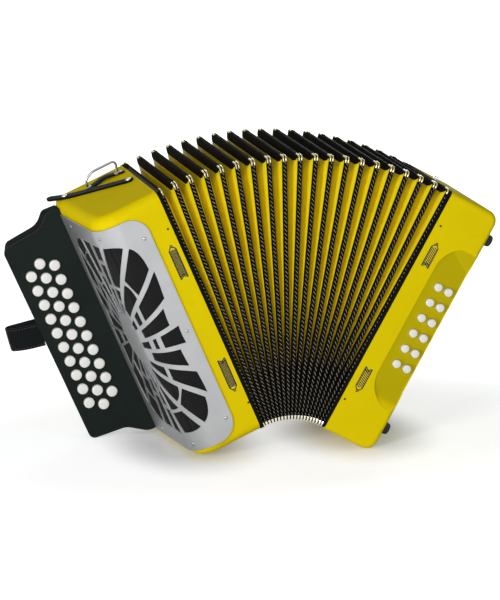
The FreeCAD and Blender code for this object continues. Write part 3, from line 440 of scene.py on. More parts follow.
def make_wood():
    material, spot = new_finish("bare_wood")
    rings = spot.stretched(1.0, 1.0, 0.08).noise(160.0, 5.0, 0.6)
    pores = spot.stretched(1.0, 1.0, 0.05).noise(1500.0, 3.0)
    base = rings.shades(colour(0.42, 0.27, 0.13), colour(0.62, 0.44, 0.25))
    return finish_with(material, base, 0.55 + rings * 0.15, pores, 0.0001)


def make_ornament_ink():
    material, spot = new_finish("ornament_black")
    cloud = spot.noise(400.0, 4.0)
    base = cloud.shades(colour(0.004, 0.003, 0.002), colour(0.012, 0.009, 0.004))
    return finish_with(material, base, 0.35 + cloud * 0.15, cloud, 0.00002)


CELLULOID = make_celluloid("yellow_celluloid")
# A copy of the celluloid with painted shade on the scoop's floor
BASS_CELLULOID_PAINTED_SHADE = make_celluloid("bass_celluloid", scoop_floor)
GRILLE = make_grille_metal()
CLOTH = make_grille_cloth()
LACQUER = make_lacquer("black_lacquer", 0.32,
                       colour(0.010, 0.014, 0.013), colour(0.015, 0.021, 0.019))
BLACK_WOOD = make_lacquer("black_wood", 0.42,
                          colour(0.002, 0.0025, 0.002), colour(0.005, 0.006, 0.005))
FOLD_BOARD = make_fold_board()
FOLD_TAPE = make_fold_tape()
STEEL = make_steel("bright_steel", colour(0.60, 0.60, 0.59), 0.14)
# Painted reflection: a darker copy of the bright steel, its dull tint standing in for dark
# surroundings that the chrome mirrors
BAIL_STEEL = make_steel("bail_steel", grey(0.36), 0.16)
CAP_METAL = make_steel("corner_metal", cap_plating, 0.2)
DARK_STEEL = make_steel("dark_steel", colour(0.06, 0.045, 0.02), 0.3)
LEATHER = make_leather()
THREAD = make_thread()
RUBBER = make_rubber()
WHITE = make_button_white()
WOOD = make_wood()
INK = make_ornament_ink()


# Meshes

def new_object(name, data):
    made = bpy.data.objects.new(name, data)
    bpy.context.scene.collection.objects.link(made)
    return made


def add_piece(name, parts, material, place, body=None, stands_for=None, crease=38.0):
    """One object from several (points, faces) parts, in millimetres of a frame."""
    points = []
    faces = []
    for part_points, part_faces in parts:
        start = len(points)
        points.extend(Vector(point) * MM for point in part_points)
        faces.extend([start + index for index in face] for face in part_faces)
    mesh = bpy.data.meshes.new(name)
    mesh.from_pydata(points, [], faces)
    shell = bmesh.new()
    shell.from_mesh(mesh)
    bmesh.ops.recalc_face_normals(shell, faces=shell.faces)
    shell.to_mesh(mesh)
    shell.free()
    mesh.polygons.foreach_set("use_smooth", [True] * len(mesh.polygons))
    mesh.set_sharp_from_angle(angle=math.radians(crease))
    mesh.materials.append(material)
    piece = new_object(name, mesh)
    piece.matrix_world = place
    if body:
        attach(piece, body)
    if stands_for:
        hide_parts(stands_for)
    return piece


def skinned(rings, looped=True, capped=True):
    """Points and faces of a skin over rings of equally many points."""
    count = len(rings[0])
    points = [point for ring in rings for point in ring]
    faces = []
    for level in range(len(rings) - 1):
        for index in range(count if looped else count - 1):
            here = level * count + index
            beside = level * count + (index + 1) % count
            faces.append([here, beside, beside + count, here + count])
    if capped:
        faces.append(list(range(count))[::-1])
        faces.append(list(range(len(points) - count, len(points))))
    return points, faces


def turned(profile, sides, at=Vector(), turn=Matrix.Identity(3)):
    """A turned solid from (radius, height) pairs, its axis turned and moved."""
    rings = []
    for radius, height in profile:
        ring = []
        for side in range(sides):
            angle = 2 * math.pi * side / sides
            ring.append(turn @ Vector((radius * math.cos(angle),
                                       radius * math.sin(angle), height)) + at)
        rings.append(ring)
    return skinned(rings)


def arc_spots(centre, radius, first, last, steps):
    """Flat spots along an arc, from its first angle to its last."""
    angles = [partway(first, last, step / steps) for step in range(steps + 1)]
    return [(centre[0] + radius * math.cos(angle), centre[1] + radius * math.sin(angle))
            for angle in angles]


def dome(radius, low, high, crown, steps):
    """Profile of a rod from low to high whose top edge is rounded by this crown."""
    return [(radius, low)] + arc_spots((radius - crown, high - crown), crown,
                                       0.0, math.pi / 2, steps)


# Folds

# The folded board starts under the tape, a little narrower than it; its corners get
# rounder towards the valleys
BELLOWS_RISE = 1.5
FOLD_DEPTH = 24.0
BOARD_START = 0.7
BOARD_CREASE = 0.92
CREASE_ROUND = 3.0
VALLEY_ROUND = 7.0
CORNER_STEPS = 3
SIDE_STEPS = (4, 16, 5, 16)
SIDE_ENDS = 0.012

# Sides of the outline, in its order; the corner before each has 4 added
FRONT_AND_BACK = (1, 3)
TOP = 2

# Tape over each outer crease: half its width, the share of a fold it may fill, its
# section as (across, inset), the inset where it is glued down, and its longer glued edge
# along the top
TAPE_HALF = 3.2
TAPE_SHARE = 0.43
TAPE_SECTION = ((-1.0, 4.0), (-1.0, 0.9), (-0.72, -0.3), (0.0, -0.6), (0.72, -0.3),
                (1.0, 0.9), (1.0, 4.0))
TAPE_GLUED = 1.0
TAPE_TOP_LEG = 8.2
TAPE_CLEAR = 0.35
SHARP_CORNER = 0.6

# Metal caps on the corners of each crease: their legs, how narrow the low ones are, and
# their sections
CAP_LEG = 9.0
CAP_TOP_LEG = 3.0
CAP_LOW_SHARE = 0.8
CAP_SECTION = ((0.24, 0.0), (0.26, -0.9), (0.5, -1.15), (0.78, -0.8), (0.9, -0.1), (0.9, 0.9))
LOW_CAP_SECTION = ((0.0, -1.0), (0.5, -0.9), (0.85, -0.5), (1.0, 0.4), (1.0, 3.0))


def fold_outline(inset, corner):
    """A ring round the folds as (radius, depth, side); sides 4 and up are corners."""
    low = BELLOWS_RADIUS + inset
    high = BELLOWS_RADIUS + END_HEIGHT - 2 * BELLOWS_MARGIN + BELLOWS_RISE - inset
    front = BELLOWS_MARGIN + inset
    back = END_DEPTH - front
    centres = [(low + corner, front + corner), (low + corner, back - corner),
               (high - corner, back - corner), (high - corner, front + corner)]
    quarter = -math.pi / 2
    arcs = [arc_spots(centre, corner, quarter * (1 + side), quarter * (2 + side), CORNER_STEPS)
            for side, centre in enumerate(centres)]
    ring = []
    for side, arc in enumerate(arcs):
        ring += [(radius, depth, 4 + side) for radius, depth in arc]
        start, finish = arc[-1], arcs[(side + 1) % 4][0]
        shares = [step / SIDE_STEPS[side] for step in range(1, SIDE_STEPS[side])]
        for share in [SIDE_ENDS] + shares + [1.0 - SIDE_ENDS]:
            ring.append((partway(start[0], finish[0], share),
                         partway(start[1], finish[1], share), side))
    return ring


def tape_angle(radius):
    """Half the tape's width as an angle about the centre line."""
    return min(TAPE_HALF / radius, TAPE_SHARE * FOLD_ANGLE)


def fan_spot(radius, crease, aside, depth):
    """A spot of the fan, this far in angle from a crease."""
    angle = FIRST_ANGLE + FOLD_ANGLE * crease + aside
    return Vector((radius * math.sin(angle), depth, radius * math.cos(angle)))


def fold_levels():
    """Each ring of the folded board: its crease, its side of it, its way to the valley."""
    for fold in range(FOLDS):
        for way in (0.0, 0.5, 1.0):
            yield fold, 1, way
        for way in (0.5, 0.0):
            yield fold + 1, -1, way


def valley_share(inset):
    """How far the board has come from its crease to its valley."""
    return (inset - BOARD_START) / (FOLD_DEPTH - BOARD_START)


def side_angle(radius, inset):
    """How far a fold's side is from its crease, this deep below the outline."""
    return partway(tape_angle(radius) * BOARD_CREASE, FOLD_ANGLE / 2, valley_share(inset))


def board_outline(inset):
    return fold_outline(inset, partway(CREASE_ROUND, VALLEY_ROUND, valley_share(inset)))


def tape_leg(share, inset):
    """The tape's glued edge, which follows the board down along the top run."""
    rise = [step / CORNER_STEPS for step in range(CORNER_STEPS + 1)]
    drawn = {TOP: itertools.repeat(1.0), TOP + 4: iter(rise), TOP + 5: iter(rise[::-1])}
    leg = []
    for near, far in zip(fold_outline(inset, SHARP_CORNER), board_outline(TAPE_TOP_LEG)):
        pull = next(drawn.get(near[2], itertools.repeat(0.0)))
        radius, depth = (partway(near[axis], far[axis], pull) for axis in range(2))
        aside = share * tape_angle(radius)
        if pull > 0:
            sunk = partway(inset, TAPE_TOP_LEG, pull)
            aside = share * (side_angle(radius, sunk) + TAPE_CLEAR / radius)
        leg.append((radius, depth, near[2], aside))
    return leg


def crease_outline(inset):
    return fold_outline(inset, max(CREASE_ROUND - inset, SHARP_CORNER))


def tape_run(share, inset):
    """One line of the tape's section round the folds."""
    if inset > TAPE_GLUED:
        return tape_leg(share, inset)
    return [(radius, depth, where, share * tape_angle(radius))
            for radius, depth, where in crease_outline(inset)]


def give_values(piece, name, values):
    layer = piece.data.attributes.new(name, "FLOAT", "POINT")
    layer.data.foreach_set("value", values)


def bend_with_fan(piece):
    """Bake a piece's place into its points."""
    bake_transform(piece)


def make_fold_boards():
    rings = []
    depths = []
    for crease, side, way in fold_levels():
        inset = partway(BOARD_START, FOLD_DEPTH, way)
        rings.append([fan_spot(radius, crease, side * side_angle(radius, inset), depth)
                      for radius, depth, where in board_outline(inset)])
        depths += [inset / FOLD_DEPTH] * len(rings[-1])
    piece = add_piece("bellows_folds", [skinned(rings, capped=False)], FOLD_BOARD,
                      FAN, stands_for="bellows")
    give_values(piece, "fold_depth", depths)
    bend_with_fan(piece)


def half_section(section, crease):
    """The end creases carry only the half of a section that faces the folds."""
    facing = {0: 1, FOLDS: -1}.get(crease)
    return [spot for spot in section if facing is None or spot[0] * facing >= 0]


def make_fold_tapes():
    parts = []
    values = {"tape_across": [], "tape_along": [], "tape_printed": []}
    for crease in range(FOLDS + 1):
        rings = []
        for share, inset in half_section(TAPE_SECTION, crease):
            ring = []
            for radius, depth, where, aside in tape_run(share, inset):
                upright = where in FRONT_AND_BACK
                ring.append(fan_spot(radius, crease, aside, depth))
                values["tape_across"].append(share)
                values["tape_along"].append(radius if upright else depth)
                values["tape_printed"].append(float(upright and inset < TAPE_GLUED))
            rings.append(ring)
        parts.append(skinned(rings, capped=False))
    piece = add_piece("bellows_tape", parts, FOLD_TAPE, FAN)
    for name, numbers in values.items():
        give_values(piece, name, numbers)
    bend_with_fan(piece)


def toward(spot, other, distance):
    """A spot this far from the first one in the direction of the other."""
    share = distance / math.dist(spot[:2], other[:2])
    return tuple(partway(spot[axis], other[axis], share) for axis in range(2)) + (spot[2],)


def cap_path(inset, corner):
    """A corner of the creases with a short leg on either side of it."""
    outline = crease_outline(inset)
    arc = [spot for spot in outline if spot[2] == 4 + corner]
    start = outline.index(arc[0])
    before, after = outline[start - 1], outline[(start + len(arc)) % len(outline)]
    legs = (CAP_LEG, CAP_TOP_LEG) if corner % 2 else (CAP_TOP_LEG, CAP_LEG)
    return [toward(arc[0], before, legs[0])] + arc + [toward(arc[-1], after, legs[1])]


def make_corner_caps():
    parts = []
    for crease in range(FOLDS + 1):
        sides = [side for side in (-1, 1) if 0 <= crease + side <= FOLDS]
        for corner, side in itertools.product(range(4), sides):
            low = corner < 2
            narrow = side * (CAP_LOW_SHARE if low else 1.0)
            rings = []
            for share, inset in LOW_CAP_SECTION if low else CAP_SECTION:
                rings.append([fan_spot(radius, crease, share * narrow * tape_angle(radius),
                                       depth)
                              for radius, depth, where in cap_path(inset, corner)])
            parts.append(skinned(rings, looped=False, capped=False))
    piece = add_piece("bellows_corner_caps", parts, CAP_METAL, FAN)
    bend_with_fan(piece)


# Buttons. Each kind has a radius, a crown and a way that it faces. The foot is narrower
# than the rest; the face ends in rings, as shares of the radius and drops from the top.

BUTTON_FOOT = 0.4
BUTTON_DOME = 0.35
BUTTON_FACE = ((0.45, 0.08), (0.1, 0.0))
BUTTONS = {
    "treble_button": (7.0, 1.5, TO_FRONT),
    "bass_button": (5.4, 1.2, TO_FRONT),
    "air_button": (8.0, 1.6, TO_BACK),
}


def make_button(node, radius, crown, turn):
    """A button whose face is crowned and whose foot is a little narrower."""
    low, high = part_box(node)
    length = (high.y - low.y) / MM
    foot = high.y if turn is TO_FRONT else low.y
    place = Matrix.Translation(((low.x + high.x) / 2, foot, (low.z + high.z) / 2))
    profile = [(radius - BUTTON_FOOT, 0.0)]
    profile += dome(radius, BUTTON_FOOT, length - BUTTON_DOME, crown, 5)
    profile += [(radius * share, length - drop) for share, drop in BUTTON_FACE]
    add_piece(node + "_cap", [turned(profile, 32, turn=turn)], WHITE, place,
              node, node, crease=60.0)


def make_buttons():
    for node in sorted(frame["nodes"]):
        for family, shape in BUTTONS.items():
            if node.startswith(family):
                make_button(node, *shape)


# Straps: a path is a list of (spot, outward, wide), wide being the strap's own width.
# Leather is given by its thickness and crown; a seam by its inset from the edge, the
# lift of its stitches, their pitch and their length.

STRAP_EDGE = 0.95
CROWN_STEPS = 8
ARCH_STEPS = 24
SEAT_GAP = 0.05

# A stitch's radius at its middle and at its ends, and the length of its taper
STITCH_RADIUS = 0.34
STITCH_TIP = 0.15
STITCH_TAPER = 0.3


def strap_skin(path, width, section):
    """A strap along a path, from its section's (across, lift) pairs."""
    return skinned([[spot + wide * (width / 2 * across) + outward * lift
                     for across, lift in section] for spot, outward, wide in path])


def strap_section(thickness, crown):
    """Round-edged section of a strap: across from -1 to 1, and its height."""
    section = [(-1.0, thickness * 0.25), (-0.96, 0.0), (0.96, 0.0), (1.0, thickness * 0.25),
               (1.0, thickness * 0.7), (STRAP_EDGE, thickness)]
    for step in range(1, CROWN_STEPS):
        across = STRAP_EDGE - 2 * STRAP_EDGE * step / CROWN_STEPS
        section.append((across, thickness + crown * (1 - (across / STRAP_EDGE) ** 2)))
    return section + [(-STRAP_EDGE, thickness), (-1.0, thickness * 0.7)]


def arched_path(low, high, rise, tab):
    """Flat tab, arc and flat tab in the XZ plane, bowed towards positive X."""
    span = (high - low) / 2 - tab
    radius = (span * span + rise * rise) / (2 * rise)
    half = math.asin(span / radius)
    centre = Vector((rise - radius, 0, (low + high) / 2))
    outwards = [Vector((x, 0, z))
                for x, z in arc_spots((0, 0), 1.0, -half, half, ARCH_STEPS)]
    tabs = [(Z_AXIS * height, X_AXIS, Y_AXIS)
            for height in (low, low + tab * 0.7, high - tab * 0.7, high)]
    bow = [(centre + outward * radius, outward, Y_AXIS) for outward in outwards]
    return tabs[:2] + bow + tabs[2:]


def stitches(path, offset, lift, pitch, length):
    """Short thread stitches along a strap, this far to one side of its middle."""
    parts = []
    distance = 0.0
    following = pitch / 2
    profile = [(STITCH_TIP, -length / 2), (STITCH_RADIUS, -length / 2 + STITCH_TAPER),
               (STITCH_RADIUS, length / 2 - STITCH_TAPER), (STITCH_TIP, length / 2)]
    for (spot, outward, wide), (after, after_out, _) in zip(path, path[1:]):
        span = (after - spot).length
        while following < distance + span:
            share = (following - distance) / span
            normal = outward.lerp(after_out, share).normalized()
            along = (after - spot).normalized()
            middle = spot.lerp(after, share) + wide * offset + normal * lift
            turn = Matrix((wide, normal, along)).transposed()
            parts.append(turned(profile, 6, middle, turn))
            following += pitch
        distance += span
    return parts


def add_seams(name, path, width, seam, place, body):
    """A row of stitches along either edge of a strap."""
    inset, *stitch = seam
    seams = []
    for side in (-1, 1):
        seams += stitches(path, side * (width / 2 - inset), *stitch)
    add_piece(name + "_stitches", seams, THREAD, place, body)


def add_strap(name, path, width, leather, seam, place, body):
    """A strap sewn along both edges, in place of the solid of the same name."""
    add_piece(name + "_leather", [strap_skin(path, width, strap_section(*leather))],
              LEATHER, place, body, name)
    add_seams(name, path, width, seam, place, body)


# A screw's domed head and the floor of its slot, and half the slot, as shares of its radius
SCREW_DOME = ((1.0, 0.0), (1.0, 0.12), (0.9, 0.26), (0.6, 0.38), (0.25, 0.43))
SCREW_FLOOR = ((0.96, 0.0), (0.9, 0.14))
SCREW_SLOT = 0.11


def screw_head(at, turn, radius):
    """A low domed head whose top is cut by a slot made of two half discs."""
    parts = []
    gap = radius * SCREW_SLOT
    for side in (0.0, math.pi):
        rings = []
        for share, height in SCREW_DOME:
            reach = radius * share
            start = math.asin(min(1.0, gap / reach))
            spots = arc_spots((0, 0), reach, side + start, side + math.pi - start, 12)
            rings.append([turn @ Vector((x, y, radius * height)) + at for x, y in spots])
        parts.append(skinned(rings))
    floor = [(radius * share, radius * height) for share, height in SCREW_FLOOR]
    return parts + [turned(floor, 24, at, turn)]


def add_screws(name, spots, turn, radius, place, body):
    heads = []
    for spot in spots:
        heads += screw_head(Vector(spot), turn, radius)
    add_piece(name, heads, STEEL, place, body)


HAND_LOW = 30.0
HAND_HIGH = 312.0
HAND_SETBACK = 112.0
HAND_WIDTH = 56.0
HAND_LEATHER = (2.4, 0.8)
HAND_SEAM = (4.0, 2.7, 5.0, 3.4)
HAND_SCREWS = tuple((2.9, across, height) for height in (HAND_LOW + 9.0, HAND_HIGH - 9.0)
                    for across in (-16.0, 16.0))


def make_hand_strap():
    path = arched_path(HAND_LOW, HAND_HIGH, rise=25.0, tab=26.0)
    place = shifted(BASS, BASS_WIDTH, HAND_SETBACK, 0)
    add_strap("hand_strap", path, HAND_WIDTH, HAND_LEATHER, HAND_SEAM, place, "bass")
    add_screws("hand_strap_screws", HAND_SCREWS, OUTWARD, 4.0, place, "bass")


def smooth_route(corners, rounds, steps):
    """The corners of a flat route, each rounded by an arc of its own radius."""
    route = [corners[0]]
    for before, corner, after, radius in zip(corners, corners[1:], corners[2:], rounds):
        first, second = (before - corner).normalized(), (after - corner).normalized()
        half = first.angle(second) / 2
        run = radius / math.tan(half)
        centre = corner + (first + second).normalized() * (radius / math.sin(half))
        start, finish = corner + first * run - centre, corner + second * run - centre
        for step in range(steps + 1):
            route.append(centre + start.normalized().slerp(finish, step / steps) * radius)
    return route + [corners[-1]]


def route_path(route, wide):
    """A path along a flat route, its outward side to the left of the way."""
    path = []
    for index, spot in enumerate(route):
        before = route[max(index - 1, 0)]
        after = route[min(index + 1, len(route) - 1)]
        along = (after - before).normalized()
        path.append((spot, wide.cross(along).normalized(), wide))
    return path


THUMB_HEIGHT = 194.0
THUMB_WIDTH = 31.0
THUMB_REACH = 37.0
THUMB_TILT = math.radians(8.0)
THUMB_LEATHER = (1.9, 0.3)
THUMB_SEAM = (2.6, 2.0, 4.2, 2.8)
THUMB_FOLD = BOARD_BACK + 2.5
THUMB_SEAT = BOARD_BACK + SEAT_GAP
THUMB_SCREWS = ((30.0, BOARD_BACK + 2.2, -7.0), (30.0, BOARD_BACK + 2.2, 7.0))
BOARD_EDGE = -185.63

# The thumb strap's route from the edge of the board, and how its corners are rounded
THUMB_CORNERS = ((2.0, BOARD_FRONT + 6.9), (-THUMB_REACH + 12.0, THUMB_FOLD - 12.5),
                 (-THUMB_REACH, THUMB_FOLD), (-THUMB_REACH, THUMB_FOLD + 10.0),
                 (15.0, THUMB_SEAT), (39.0, THUMB_SEAT))
THUMB_ROUNDS = (50.0, 6.5, 4.6, 12.0)


def make_thumb_strap():
    corners = [Vector((x, y, 0)) for x, y in THUMB_CORNERS]
    path = route_path(smooth_route(corners, THUMB_ROUNDS, 9), Z_AXIS)
    place = shifted(TREBLE, BOARD_EDGE, 0, THUMB_HEIGHT) @ Matrix.Rotation(THUMB_TILT, 4, "Y")
    add_strap("thumb_strap", path, THUMB_WIDTH, THUMB_LEATHER, THUMB_SEAM, place, "treble")
    add_screws("thumb_strap_screws", THUMB_SCREWS, TO_BACK, 3.4, place, "treble")


STRAP_HALF = 6.0
STRAP_THICKNESS = 3.0
STRAP_SEAM = (1.6, 2.95, 3.6, 2.4)
STRAP_STUDS = (0.0, 94.0)
STRAP_END = STRAP_STUDS[1] + 19.0
STRAP_TURN = math.radians(142.5)
STRAP_STEPS = 16
STRAP_TIP = 0.3
TIP_START = STRAP_STUDS[1] * 0.8
TIP_RUN = STRAP_END * 0.4
TIP_RISE = 4.0
STRAP_SECTION = ((-1.0, 0.7), (-0.94, 0.0), (0.94, 0.0), (1.0, 0.7), (1.0, 2.2), (0.9, 2.9),
                 (0.4, STRAP_THICKNESS), (-0.4, STRAP_THICKNESS), (-0.9, 2.9), (-1.0, 2.2))
SNAP_PROFILE = ((3.6, -0.6), (3.6, 0.3), (3.3, 0.7), (2.6, 1.05), (1.5, 1.25), (0.3, 1.3))


def tip_lift(along):
    """How far the bellows strap's free tip stands off the casing."""
    return TIP_RISE * max(0.0, (along - TIP_START) / TIP_RUN) ** 2


def make_bellows_strap():
    """A leather strip with round ends; its free tip lifts a little off the casing."""
    quarter = math.pi / 2
    stations = arc_spots((0.0, 0.0), STRAP_HALF, 2 * quarter, quarter, 8)
    stations += [(STRAP_END * step / STRAP_STEPS, STRAP_HALF)
                 for step in range(1, STRAP_STEPS)]
    stations += arc_spots((STRAP_END, 0.0), STRAP_HALF, quarter, 0.0, 8)
    rings = [[Vector((along, max(reach, STRAP_TIP) * across, height + tip_lift(along)))
              for across, height in STRAP_SECTION] for along, reach in stations]
    place = shifted(TREBLE, *(STRAP_PIVOT + Z_AXIS * FIT_GAP))
    place = place @ Matrix.Rotation(STRAP_TURN, 4, "Z")
    add_piece("bellows_strap_leather", [skinned(rings)], LEATHER, place,
              "bellows_strap", "bellows_strap")
    path = [(X_AXIS * along, Z_AXIS, Y_AXIS) for along in (2.0, STRAP_STUDS[1] - 4.0)]
    add_seams("bellows_strap", path, STRAP_HALF * 2, STRAP_SEAM, place, "bellows_strap")
    caps = [turned(SNAP_PROFILE, 32, Vector((along, 0, STRAP_THICKNESS + tip_lift(along))))
            for along in STRAP_STUDS]
    add_piece("bellows_strap_studs", caps, STEEL, place, "bellows_strap",
              crease=60.0)


# Fittings

BAIL_CENTRE = Vector((-34.5, 141.0, 0))
BAIL_HALF = 19.5
BAIL_HEIGHT = 20.0
BAIL_WIRE = 1.6
WIRE_SIDES = 14
TAB_LOW = -54.5
TAB_HIGH = -5.0
TAB_SETBACK = 145.0
TAB_WIDTH = 12.0
TAB_WAVE = 3.6
TAB_STEPS = 24
TAB_SCREWS = ((TAB_LOW + 24.0, TAB_SETBACK, 2.5), (TAB_HIGH - 3.6, TAB_SETBACK, 2.5))
TAB_LEATHER = (2.3, 0.4)

# The bail's bends with their rounding, and the ears that it hangs in
BAIL_BENDS = ((-BAIL_HALF, 0.8), (-BAIL_HALF - 3.0, 12.5), (-BAIL_HALF + 11.0, BAIL_HEIGHT),
              (BAIL_HALF + 5.0, BAIL_HEIGHT), (BAIL_HALF, 0.8))
BAIL_ROUNDS = (9.0, 18.0, 4.0)
EAR_PROFILE = ((3.0, 2.2), (3.0, 4.2), (2.4, 4.9), (1.7, 5.0))

# Stud on the bass end that the bellows strap closes on
STUD_SPOT = (13.0, 106.0, END_HEIGHT)
STUD_PROFILE = ((4.0, 0.0), (4.0, 0.9), (3.2, 1.3), (2.4, 1.6), (2.3, 3.4), (3.0, 3.6),
                (4.0, 3.9), (3.9, 4.5), (3.0, 4.9), (1.2, 5.0))

# Rubber feet on the outer face of the bass end, hollow in the middle
FOOT_HEIGHTS = (34.5, 307.0)
FOOT_INSET = 18.0
FOOT_PROFILE = ((7.9, 0.0), (8.5, 0.8), (8.3, 3.0), (7.5, 8.4), (6.9, 9.6), (6.0, 10.0),
                (3.2, 10.0), (2.9, 9.2), (0.4, 9.1))

# Pins that hold the folds to the two ends, as (x, z) on the front of each
PIN_SPOTS = {"treble": (TREBLE, ((-5.5, 294.0), (-1.3, 42.0))),
             "bass": (BASS, ((6.8, 296.0), (4.7, 46.0)))}
PIN_PROFILE = ((1.5, -0.4), (1.5, 0.3), (1.2, 0.7), (0.6, 0.9), (0.1, 1.0))


def wire_skin(route, radius):
    """A round wire along a flat route in the XZ plane."""
    last = 2 * math.pi * (WIRE_SIDES - 1) / WIRE_SIDES
    turns = arc_spots((0, 0), radius, 0.0, last, WIRE_SIDES - 1)
    return skinned([[spot + normal * x + wide * y for x, y in turns]
                    for spot, normal, wide in route_path(route, Y_AXIS)])


def make_bracket_tab(place):
    """A leather tab that rises in a wave under the bail."""
    span = TAB_HIGH - TAB_LOW
    path = []
    for step in range(TAB_STEPS + 1):
        share = step / TAB_STEPS
        rise = TAB_WAVE * math.sin(math.pi * share) ** 2
        slope = math.pi * math.sin(2 * math.pi * share) * TAB_WAVE / span
        path.append((Vector((TAB_LOW + span * share, TAB_SETBACK, SEAT_GAP + rise)),
                     Vector((-slope, 0, 1)).normalized(), Y_AXIS))
    section = strap_section(*TAB_LEATHER)
    add_piece("strap_bracket_tab", [strap_skin(path, TAB_WIDTH, section)],
              LEATHER, place, "treble", "strap_bracket")


def make_bracket():
    place = shifted(TREBLE, 0, 0, END_HEIGHT)
    make_bracket_tab(place)
    corners = [Vector((x, 0, z)) for x, z in BAIL_BENDS]
    route = [spot + BAIL_CENTRE for spot in smooth_route(corners, BAIL_ROUNDS, 10)]
    ears = [turned(EAR_PROFILE, 20, X_AXIS * (side * BAIL_HALF) + BAIL_CENTRE)
            for side in (-1, 1)]
    add_piece("shoulder_strap_bail", [wire_skin(route, BAIL_WIRE)] + ears, BAIL_STEEL,
              place, "treble", "strap_bracket")
    add_screws("bracket_screws", TAB_SCREWS, Matrix.Identity(3), 2.6, place, "treble")


def make_stud():
    add_piece("bass_strap_stud_steel", [turned(STUD_PROFILE, 32)], STEEL,
              shifted(BASS, *STUD_SPOT), "bass", "bass_strap_stud")


def make_feet():
    feet = [turned(FOOT_PROFILE, 36, Vector((BASS_WIDTH, setback, height)), OUTWARD)
            for height in FOOT_HEIGHTS for setback in (FOOT_INSET, END_DEPTH - FOOT_INSET)]
    add_piece("bass_feet_rubber", feet, RUBBER, BASS, "bass", "rubber_feet")


def make_pins():
    for body, (place, spots) in PIN_SPOTS.items():
        heads = [turned(PIN_PROFILE, 20, Vector((x, 0, z)), TO_FRONT) for x, z in spots]
        add_piece(body + "_pins", heads, DARK_STEEL, place, body)


# Sheet of the grille, bent round the casing's front corner

# The casing's front corner, and the sheet's edge beside the folds
FRONT_WIDTH = 87.0
WRAP_ROUND = 32.0
GRILLE_EDGE = 28.0
TAPER = math.atan2(TREBLE_WIDTH - FRONT_WIDTH, BOARD_FRONT)
WRAP_ANGLE = math.pi / 2 - TAPER
WRAP_X = WRAP_ROUND * math.tan(WRAP_ANGLE / 2) - FRONT_WIDTH
BEND_START = -WRAP_X - GRILLE_EDGE
BEND_RUN = WRAP_ROUND * WRAP_ANGLE
BEND_LINES = 14
MERGE_GAP = 0.0001

# The flat sheet, the cloth under it, and their heights over the casing
GRILLE_LOW = 12.0
GRILLE_HIGH = 328.0
GRILLE_CORNER = 26.0
SHEET_RUN = 196.6
SHEET_LIFTS = (1.3, 2.7)
CLOTH_INSET = 5.0
CLOTH_LIFTS = (0.25, 1.05)
GRILLE_SCREWS = ((9.5, 297.0), (8.0, 164.0), (7.5, 38.0), (62.0, 317.0), (60.0, 21.0),
                 (165.0, 317.0), (165.0, 21.0))

# The openings' rim: how far it reaches from the boss, right and left, up and down
RIM_ACROSS = (88.5, 82.0)
RIM_UPWARD = (138.0, 130.0)
RIM_SQUARENESS = 5.0

# Rays of the grille, clockwise: the angle of a spoke, then the opening that follows it as
# shares of the way from the boss to the rim: where it starts, ends and is split by bars.
# Spokes widen outwards, and are slimmer on the slanted side of the casing.
RAY_CENTRE = (104.0, 167.0)
RAY_BOSS = 28.0
RAY_BAR = (4.2, 7.0)
RAY_SPLIT = 5.6
RAY_SLIMMING = 0.42
RAY_STEPS = 6
RAYS = (
    (75.0, 0.12, 1.0, (0.3, 0.5)), (62.0, 0.22, 1.0, (0.61,)), (46.0, 0.09, 1.0, (0.28, 0.45)),
    (27.5, 0.27, 0.85, ()), (8.0, 0.08, 1.0, (0.36, 0.53)), (-12.0, 0.28, 0.86, ()),
    (-31.0, 0.16, 1.0, (0.49,)), (-46.0, 0.18, 1.0, (0.64,)), (-61.5, 0.1, 1.0, (0.34, 0.7)),
    (-75.0, 0.08, 1.0, (0.42, 0.66)), (-89.0, 0.08, 1.0, (0.28, 0.53)),
    (-104.0, 0.06, 1.0, (0.36, 0.68)), (-122.0, 0.06, 1.0, (0.52,)), (-141.0, 0.08, 0.9, ()),
    (-161.0, 0.06, 1.0, (0.48,)), (-181.0, 0.08, 0.9, ()), (-201.0, 0.06, 1.0, (0.5,)),
    (-220.0, 0.06, 1.0, (0.36, 0.64)), (-238.0, 0.08, 1.0, (0.46, 0.84)),
    (-255.0, 0.08, 1.0, (0.3, 0.58)), (-270.5, 0.1, 1.0, (0.46, 0.78)),
)


def on_sheet(run, up, lift):
    """Place and normal of a spot this far along the sheet from its right edge."""
    if run < BEND_START:
        normal = -Y_AXIS
        spot = Vector((-GRILLE_EDGE - run, 0, up))
    else:
        angle = min(run - BEND_START, BEND_RUN) / WRAP_ROUND
        normal = Vector((-math.sin(angle), -math.cos(angle), 0))
        spot = Vector((WRAP_X, WRAP_ROUND, up)) + normal * WRAP_ROUND
        if run > BEND_START + BEND_RUN:
            past = run - BEND_START - BEND_RUN
            spot += Vector((-math.sin(TAPER), math.cos(TAPER), 0)) * past
    return spot + normal * lift, normal


def ray_reach(angle):
    """From the middle of the boss to the rim of the openings, a rounded rectangle."""
    across = RIM_ACROSS[0] if math.cos(angle) > 0 else RIM_ACROSS[1]
    upward = RIM_UPWARD[0] if math.sin(angle) > 0 else RIM_UPWARD[1]
    total = (abs(math.cos(angle) / across) ** RIM_SQUARENESS
             + abs(math.sin(angle) / upward) ** RIM_SQUARENESS)
    return total ** (-1.0 / RIM_SQUARENESS)


def ray_spot(angle, share, side):
    """A corner of an opening on the flat sheet, half a bar from its spoke's line."""
    radius = partway(RAY_BOSS, ray_reach(angle), share)
    slim = 1.0 - RAY_SLIMMING * min(1.0, max(0.0, -2.0 * math.cos(angle)))
    half = side * slim * partway(*RAY_BAR, share) / 2
    along = radius * math.cos(angle) + half * math.sin(angle)
    up = radius * math.sin(angle) - half * math.cos(angle)
    return (RAY_CENTRE[0] - along, RAY_CENTRE[1] + up)


